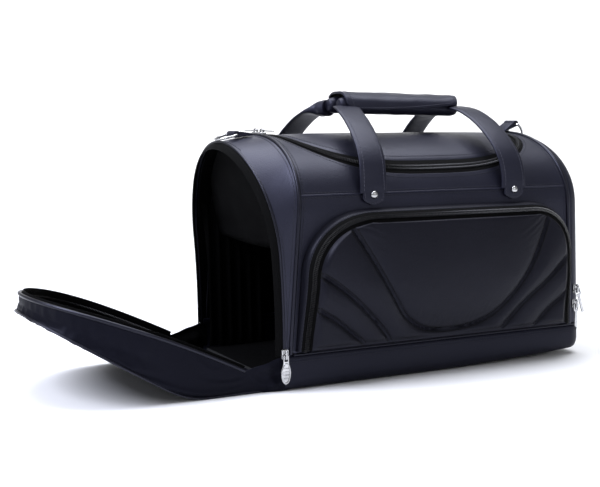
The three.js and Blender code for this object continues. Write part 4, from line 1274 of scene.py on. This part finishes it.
def capped(name, points, material):
    """A closed body from rings of points."""
    rings, sides = points.shape[:2]
    caps = [tuple(range(sides)), tuple(range((rings - 1) * sides, rings * sides))]
    return new_object(name, points.reshape(-1, 3), grid_faces(rings, sides, True) + caps, [material])


def handle_strap(name, node, side, end, gather):
    """A strap from its rivet up to the grip. gather is how far its end rolls up into the grip."""
    x = STRAP_X[end]
    body = "front_handle" if side < 0 else "rear_handle"
    pivot = JOINTS[f"{body}_swing"]["pos_m"]
    steps = np.clip(np.arange(-1, len(STRAP_PATH) - 1) / 7, 0, 1.1) ** 1.8
    outwards, upwards = np.array(STRAP_PATH).T * MM
    knots = grid(lerp(x, STRAP_END_X[end], steps), side * (abs(pivot[1]) + outwards), pivot[2] + upwards)
    path = curve_through(knots, 90)
    tangent = unit(np.gradient(path, axis=0))
    across = unit(np.array([1.0, 0, 0]) - tangent * tangent[:, :1])
    up = np.cross(tangent, across) * side
    up *= np.sign((up * [0, side, 0.4]).sum(axis=1, keepdims=True))
    path = path - up * 2 * MM

    t = np.linspace(0, 1, 90)[:, None]
    rolled = smooth(t, 0.74, 0.9) * gather
    wide = lerp(18.6 * MM * (1 - 0.1 * t), 12.5 * MM, rolled)
    thick = lerp(2.3 * MM, 9.5 * MM, rolled)
    power = lerp(5.0, 2.3, rolled)
    angle = np.linspace(0, 2 * math.pi, 36, endpoint=False)
    out = np.sign(np.cos(angle)) * np.abs(np.cos(angle)) ** (2 / power)
    high = np.sign(np.sin(angle)) * np.abs(np.sin(angle)) ** (2 / power)
    crown = 0.35 * (1 - np.abs(out) ** 2.5) * np.sign(high)
    points = pushed(path[:, None], across[:, None], out * wide)
    points = pushed(points, up[:, None], (high * 0.75 + crown) * thick)
    creases = wrinkle(points * [1, 2.6, 1], 0.02, 1.0 * MM, 17.0 + side) * (0.25 + rolled * 1.6)
    from_middle = points - path[:, None]
    from_middle /= np.maximum(np.linalg.norm(from_middle, axis=2, keepdims=True), 0.1 * MM)
    strap = capped(name, pushed(points, from_middle, creases), BODY_LEATHER)
    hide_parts(node)
    sewn = slice(2, 70)
    rows = [(path + across * (wide - 4.6 * MM) * k + up * 2 * MM)[sewn] for k in (-1, 1)]
    seam = stitches(f"{name}_stitches", rows, Surface(strap), PALE_THREAD,
                    lambda p: p * [0, 1, 0] + [0, 0, 0.1], pitch=4.6 * MM)
    for piece in (strap, seam):
        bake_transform(piece)
    return strap


def grip_roll(name, node, side, body):
    """A soft roll, thinner at its ends, with a seam underneath."""
    x = np.linspace(GRIP_LOW.x, GRIP_HIGH.x, 80)[:, None]
    angle = np.linspace(0, 2 * math.pi, 40, endpoint=False)
    end = np.minimum(x - x[0], x[-1] - x) / (10 * MM)
    radius = GRIP_R * 0.93 * (0.62 + 0.38 * np.sqrt(np.clip(end, 0, 1)))
    middle = np.linspace(*GRIP_Z, 80)[:, None]
    out = grid(0, np.cos(angle), np.sin(angle))[None]
    points = pushed(grid(x, side * GRIP_Y, middle), out, radius)
    pins = end_pins(points)
    pins[:, 30] = True
    points = relaxed(points, pins, out, 3.0, 0.9 * MM, wrap=True)
    points = pushed(points, out, wrinkle(points * [1, 2, 2], 0.022, 0.7 * MM, 21.0))
    roll = capped(name, points, BODY_LEATHER)
    finish_piece(roll, body, "leather", node)
    return roll


def grip_wrap():
    """The padded wrap that closes over both grips."""
    # (y, z) round the grips, in mm
    profile = ((-30.5, 331), (-31, 337), (-28.6, 345), (-22.5, 351), (-13, 354.2), (4, 354.6), (18, 353.6),
               (28, 348))
    curve = curve_through(np.array(profile) * MM, 200)
    low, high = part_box("grip_wrap")
    t = np.linspace(0, 1, 90)[:, None]
    k = np.linspace(0, 1, 44)
    left = low.x - 1 * MM + 5 * MM * (1 - np.sin(math.pi * np.clip(k * 1.2, 0, 1)))
    right = high.x + 3 * MM - 8 * MM * np.abs(k - 0.68) ** 0.8 * 2
    share = lerp(0.22 * t**1.3, 1, k)
    y, z = (np.interp(share, np.linspace(0, 1, 200), values) for values in curve.T)
    points = grid(lerp(left, right, t), y, z - 4 * MM * t - 1.2 * MM * np.sin(math.pi * t))

    def from_grips(p):
        return p * [0, 1, 1] - [0, 0, 0.33]

    out = normals_facing(points, from_grips)
    points = relaxed(points, edge_pins(points), out, 3.0, 2.4 * MM)
    points = pushed(points, out, wrinkle(points * [1, 2, 1], 0.03, 1.1 * MM, 25.0) * edge_fade(points, 4))
    wrap = thick_sheet("handle_wrap", points, 3.2 * MM, out, BODY_LEATHER, round_edge=1.2 * MM)
    finish_piece(wrap, "front_handle", "leather", "grip_wrap")
    rows = [points[4:-4, 3], points[4:-4, -4], points[4, 3:-3], points[-5, 3:-3]]
    seam = stitches("wrap_stitches", rows, Surface(wrap), PALE_THREAD, from_grips, pitch=4.6 * MM)
    finish_piece(seam, "front_handle", "leather")


def strap_tabs():
    """The stitched patches under the straps."""
    t = np.linspace(0, 1, 20)[:, None]
    u = np.linspace(-1, 1, 24)
    for end in STRAP_X:
        for place, side in (("front", -1), ("rear", 1)):
            node = f"strap_tab_{place}_{end}"
            low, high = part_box(node)
            half = (high.x - low.x) / 2
            z = lerp(low.z, high.z, t)
            shape = half * np.clip(1 - np.clip((low.z + 9 * MM - z) / (9 * MM), 0, 1) ** 2.4, 0.25, 1)
            face = max(abs(low.y), abs(high.y))
            bow = 0.5 * MM * (1 - u**2) * np.sin(math.pi * t)
            points = grid((low.x + high.x) / 2 + shape * u, side * (face - 0.5 * MM + bow), z)
            out = -FRONT * side
            tab = thick_sheet(f"tab_{place}_{end}", points, 2.2 * MM, out, BODY_LEATHER)
            finish_piece(tab, "bag", "leather", node)
            edge = np.concatenate([points[::-1, 2][:-2], points[2, 2:-2], points[:, -3][2:]])
            seam = stitches(f"tab_stitches_{place}_{end}", [edge], Surface(tab), PALE_THREAD, out, 3.6 * MM)
            finish_piece(seam, "bag", "leather")


# ---------------------------------------------------------------- metal
def kept_node(node, material, levels=0, bevel=0.0, harden=False):
    """A CAD node that is shown as it is, smoothed by modifiers only."""
    part = frame["nodes"][node]
    part.data.materials.clear()
    part.data.materials.append(material)
    part.data.polygons.foreach_set("use_smooth", [True] * len(part.data.polygons))
    weld = part.modifiers.new("weld", "WELD")
    weld.merge_threshold = 0.00001
    if levels:
        smoothing = part.modifiers.new("smooth", "SUBSURF")
        smoothing.levels = smoothing.render_levels = levels
    if bevel:
        edge = part.modifiers.new("edge", "BEVEL")
        edge.width, edge.segments, edge.angle_limit = bevel, 2, math.radians(35)
        edge.harden_normals = harden
    return part


def hardware():
    for end in STRAP_X:
        for name in (f"d_ring_{end}", f"rivet_front_{end}", f"rivet_rear_{end}"):
            kept_node(name, NICKEL, levels=2)
    for name in ("end", "pocket_{}_upper", "pocket_{}_lower", "lid_{}_front", "lid_{}_rear"):
        for part, bevel in (("slider", 0.55 * MM), ("pull", 0.4 * MM)):
            node = name.format(part) if "{}" in name else f"{name}_{part}"
            kept_node(node, NICKEL, bevel=bevel, harden=True)


def oval_border():
    """A raised oval border and plain ribs on the end slider's pull."""
    low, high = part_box("end_pull")
    x, y, z = (low.x + high.x) / 2, low.y - 0.1 * MM, low.z + (high.z - low.z) * 0.39
    half_x, half_z = (high.x - low.x) * 0.40, (high.z - low.z) * 0.335
    angle = np.linspace(0, 2 * math.pi, 60, endpoint=False)
    ring = grid(x + half_x * np.cos(angle), y, z + half_z * np.sin(angle))
    border = tube("pull_border", ring, 0.7 * MM, FRONT, NICKEL, sides=8, closed=True)
    finish_piece(border, "end_pull", "nickel")
    for i, share in enumerate((-0.5, -0.17, 0.17, 0.5)):
        reach = half_x * math.sqrt(1 - share**2) * 0.62
        path = grid(x + np.linspace(-reach, reach, 8), y, z + half_z * share)
        finish_piece(tube(f"pull_rib_{i}", path, 0.5 * MM, FRONT, NICKEL, sides=8), "end_pull", "nickel")


def ring_tabs():
    for end in STRAP_X:
        part = kept_node(f"d_ring_tab_{end}", BODY_LEATHER, bevel=0.6 * MM)
        low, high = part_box(part.name)
        start, length = (low.x + 9 * MM, 14 * MM) if end == "left" else (high.x - 9 * MM, -14 * MM)
        rows = [grid(start + length * np.linspace(0, 1, 3), y, high.z) for y in (-8.2 * MM, 8.2 * MM)]
        seam = stitches(f"ring_tab_stitches_{end}", rows, Surface(part), PALE_THREAD, UP, pitch=3.4 * MM)
        finish_piece(seam, "bag", "leather")


# ---------------------------------------------------------------- seams
def seam_line(z, side, count, left_off=0.0):
    """A line along the bag at height z, between the pipings. A share of it is left off at each end."""
    y, z = MAIN.at(side * MAIN.q_at_z(z))
    share = np.linspace(left_off, 1 - left_off, count)
    return grid(lerp(left_seam(z) + PIPING_ROOM, right_seam(z) - PIPING_ROOM, share), y, z)


def shell_stitching(pieces):
    paths = [seam_line(SEAM_Z + up * MM, side, 80, 0.01) for side in (-1, 1) for up in (3, -3)]
    q = ease_to_arch(150)[3:-3]
    y, z = MAIN.at(q)
    for seam, shift in ((left_seam, -6.4), (left_seam, 6.2), (right_seam, -6.2), (right_seam, 6.4)):
        paths.append(grid(seam(z) + shift * MM, y, z))
    y, z = RIM.at(q)
    paths.append(grid(opening_x(z) + 4 * MM, y, z))
    paths.append(lid_path(LID_CUT, np.linspace(0, 360, 240), 3 * MM))
    made = stitches("shell_stitches", paths, Surface(*pieces), DARK_THREAD, away_from_core)
    finish_piece(made, "bag", "leather")
    plan = base_outline(0)
    skirt = Surface(bpy.data.objects["base_skirt"])
    for depth in (3.2 * MM, 6.6 * MM):
        path = grid(plan[:, 0], plan[:, 1], BASE_TOP - depth)
        name = f"base_stitches_{round(depth * 1e4)}"
        made = stitches(name, [path], skirt, DARK_THREAD, lambda p: p * [0.4, 1, 0])
        finish_piece(made, "bag", "navy_leather")


def lid_stitching(top):
    path = lid_path(LID_EDGE, np.linspace(0, 360, 240), -4.5 * MM, -2 * MM)
    made = stitches("lid_stitches", [path], Surface(top), DARK_THREAD, away_from_core)
    finish_piece(made, "lid", "leather")


def seam_covers():
    """The rolled mid seam, front and back."""
    for name, side in (("front_mid_seam", -1), ("back_mid_seam", 1)):
        path = seam_line(SEAM_Z, side, 90) + FRONT * side * 0.4 * MM
        finish_piece(tube(name, path, 1.3 * MM, -FRONT * side, BODY_LEATHER, sides=8), "bag", "leather")


# ---------------------------------------------------------------- studio
def light(name, place, target, size, power, colour):
    data = bpy.data.lights.new(name, "AREA")
    data.shape, data.size, data.size_y = "RECTANGLE", size[0], size[1]
    data.energy, data.color = power, colour
    lamp = bpy.data.objects.new(name, data)
    lamp.location = place
    lamp.rotation_euler = (Vector(target) - Vector(place)).to_track_quat("-Z", "Y").to_euler()
    bpy.context.scene.collection.objects.link(lamp)


def studio():
    scene = bpy.context.scene
    camera_data = bpy.data.cameras.new("camera")
    camera = bpy.data.objects.new("camera", camera_data)
    scene.collection.objects.link(camera)
    yaw, pitch = math.radians(27.86), math.radians(6.62)
    camera.location = (-0.8073, -1.2762, 0.3259)
    camera.rotation_euler = (math.pi / 2 - pitch, 0, -yaw)
    camera_data.lens = 67.2
    camera_data.sensor_width = 36.0
    scene.camera = camera
    scene.view_settings.view_transform = "Standard"

    # the floor runs to the back, turns up in an arc and ends as a wall
    t = np.linspace(0, 1, 60)[:, None]
    turn = np.clip((t - 0.6) / 0.25, 0, 1) * math.pi / 2
    depth = lerp(-4.0, 4.0, np.minimum(t / 0.6, 1)) + 1.5 * np.sin(turn)
    height = 1.5 * (1 - np.cos(turn)) + np.clip((t - 0.85) / 0.15, 0, 1) * 3.0
    across = np.linspace(-7, 7, 12)
    c, s = math.cos(yaw), math.sin(yaw)
    points = grid(depth * s + across * c, depth * c - across * s, height)
    floor = new_object("studio_floor", points.reshape(-1, 3), grid_faces(60, 12), [FLOOR])

    scene.world = world = bpy.data.worlds.new("studio")
    world.use_nodes = True
    sky = world.node_tree.nodes["Background"].inputs
    sky["Color"].default_value = (0.93, 0.95, 1.0, 1)
    sky["Strength"].default_value = 0.32
    light("key", (-1.7, 0.0, 1.7), (-0.1, 0, 0.15), (1.1, 1.1), 62, (0.84, 0.87, 1.0))
    light("top", (0.2, 0.3, 2.6), (0, 0, 0.2), (2.6, 2.0), 108, (0.93, 0.95, 1.0))
    light("backdrop", (1.4, 2.6, 2.4), (2.4, 4.6, 0.4), (3.0, 1.2), 120, (1.0, 1.0, 1.0))
    light("front", (0.2, -2.6, 1.2), (0, 0, 0.0), (2.2, 0.8), 9, (1.0, 1.0, 1.0))


# ---------------------------------------------------------------- the whole bag
def shoe_bag():
    shell = [
        base_skirt(),
        wall_panel("front_wall", -1, "front_panel", 0.0),
        wall_panel("back_wall", 1, "back_panel", 1.6),
        yoke("front_crown", -1, "front_yoke"),
        yoke("back_crown", 1, "back_yoke"),
        left_band(),
        *right_end(),
    ]
    seam_piping("left_piping", "piping_left", left_seam, 0, 0)
    seam_piping("right_piping", "piping_right", right_seam, 0, 0)
    seam_piping("right_end_piping", "piping_right_end", right_seam, END_ROUND, PIPING_ROOM + END_ROUND)
    base_cord()
    seam_covers()
    top = lid()
    lid_zip()
    lid_hinge_strip()
    end_zip()
    divider()
    curtain()
    floor_board()
    rim = pocket_frame()
    pocket_stitching(quilted_pocket(), rim)
    pocket_foot_fold()
    flap_wall()
    flap_inside()
    gussets()
    for place, side, gather in (("front", -1, 0.0), ("rear", 1, 1.0)):
        for end in STRAP_X:
            handle_strap(f"{place}_handle_strap_{end}", f"{place}_strap_{end}", side, end, gather)
        grip_roll(f"{place}_grip_roll", f"{place}_grip", side, f"{place}_handle")
    grip_wrap()
    strap_tabs()
    hardware()
    oval_border()
    ring_tabs()
    shell_stitching(shell)
    lid_stitching(top)


studio()
shoe_bag()
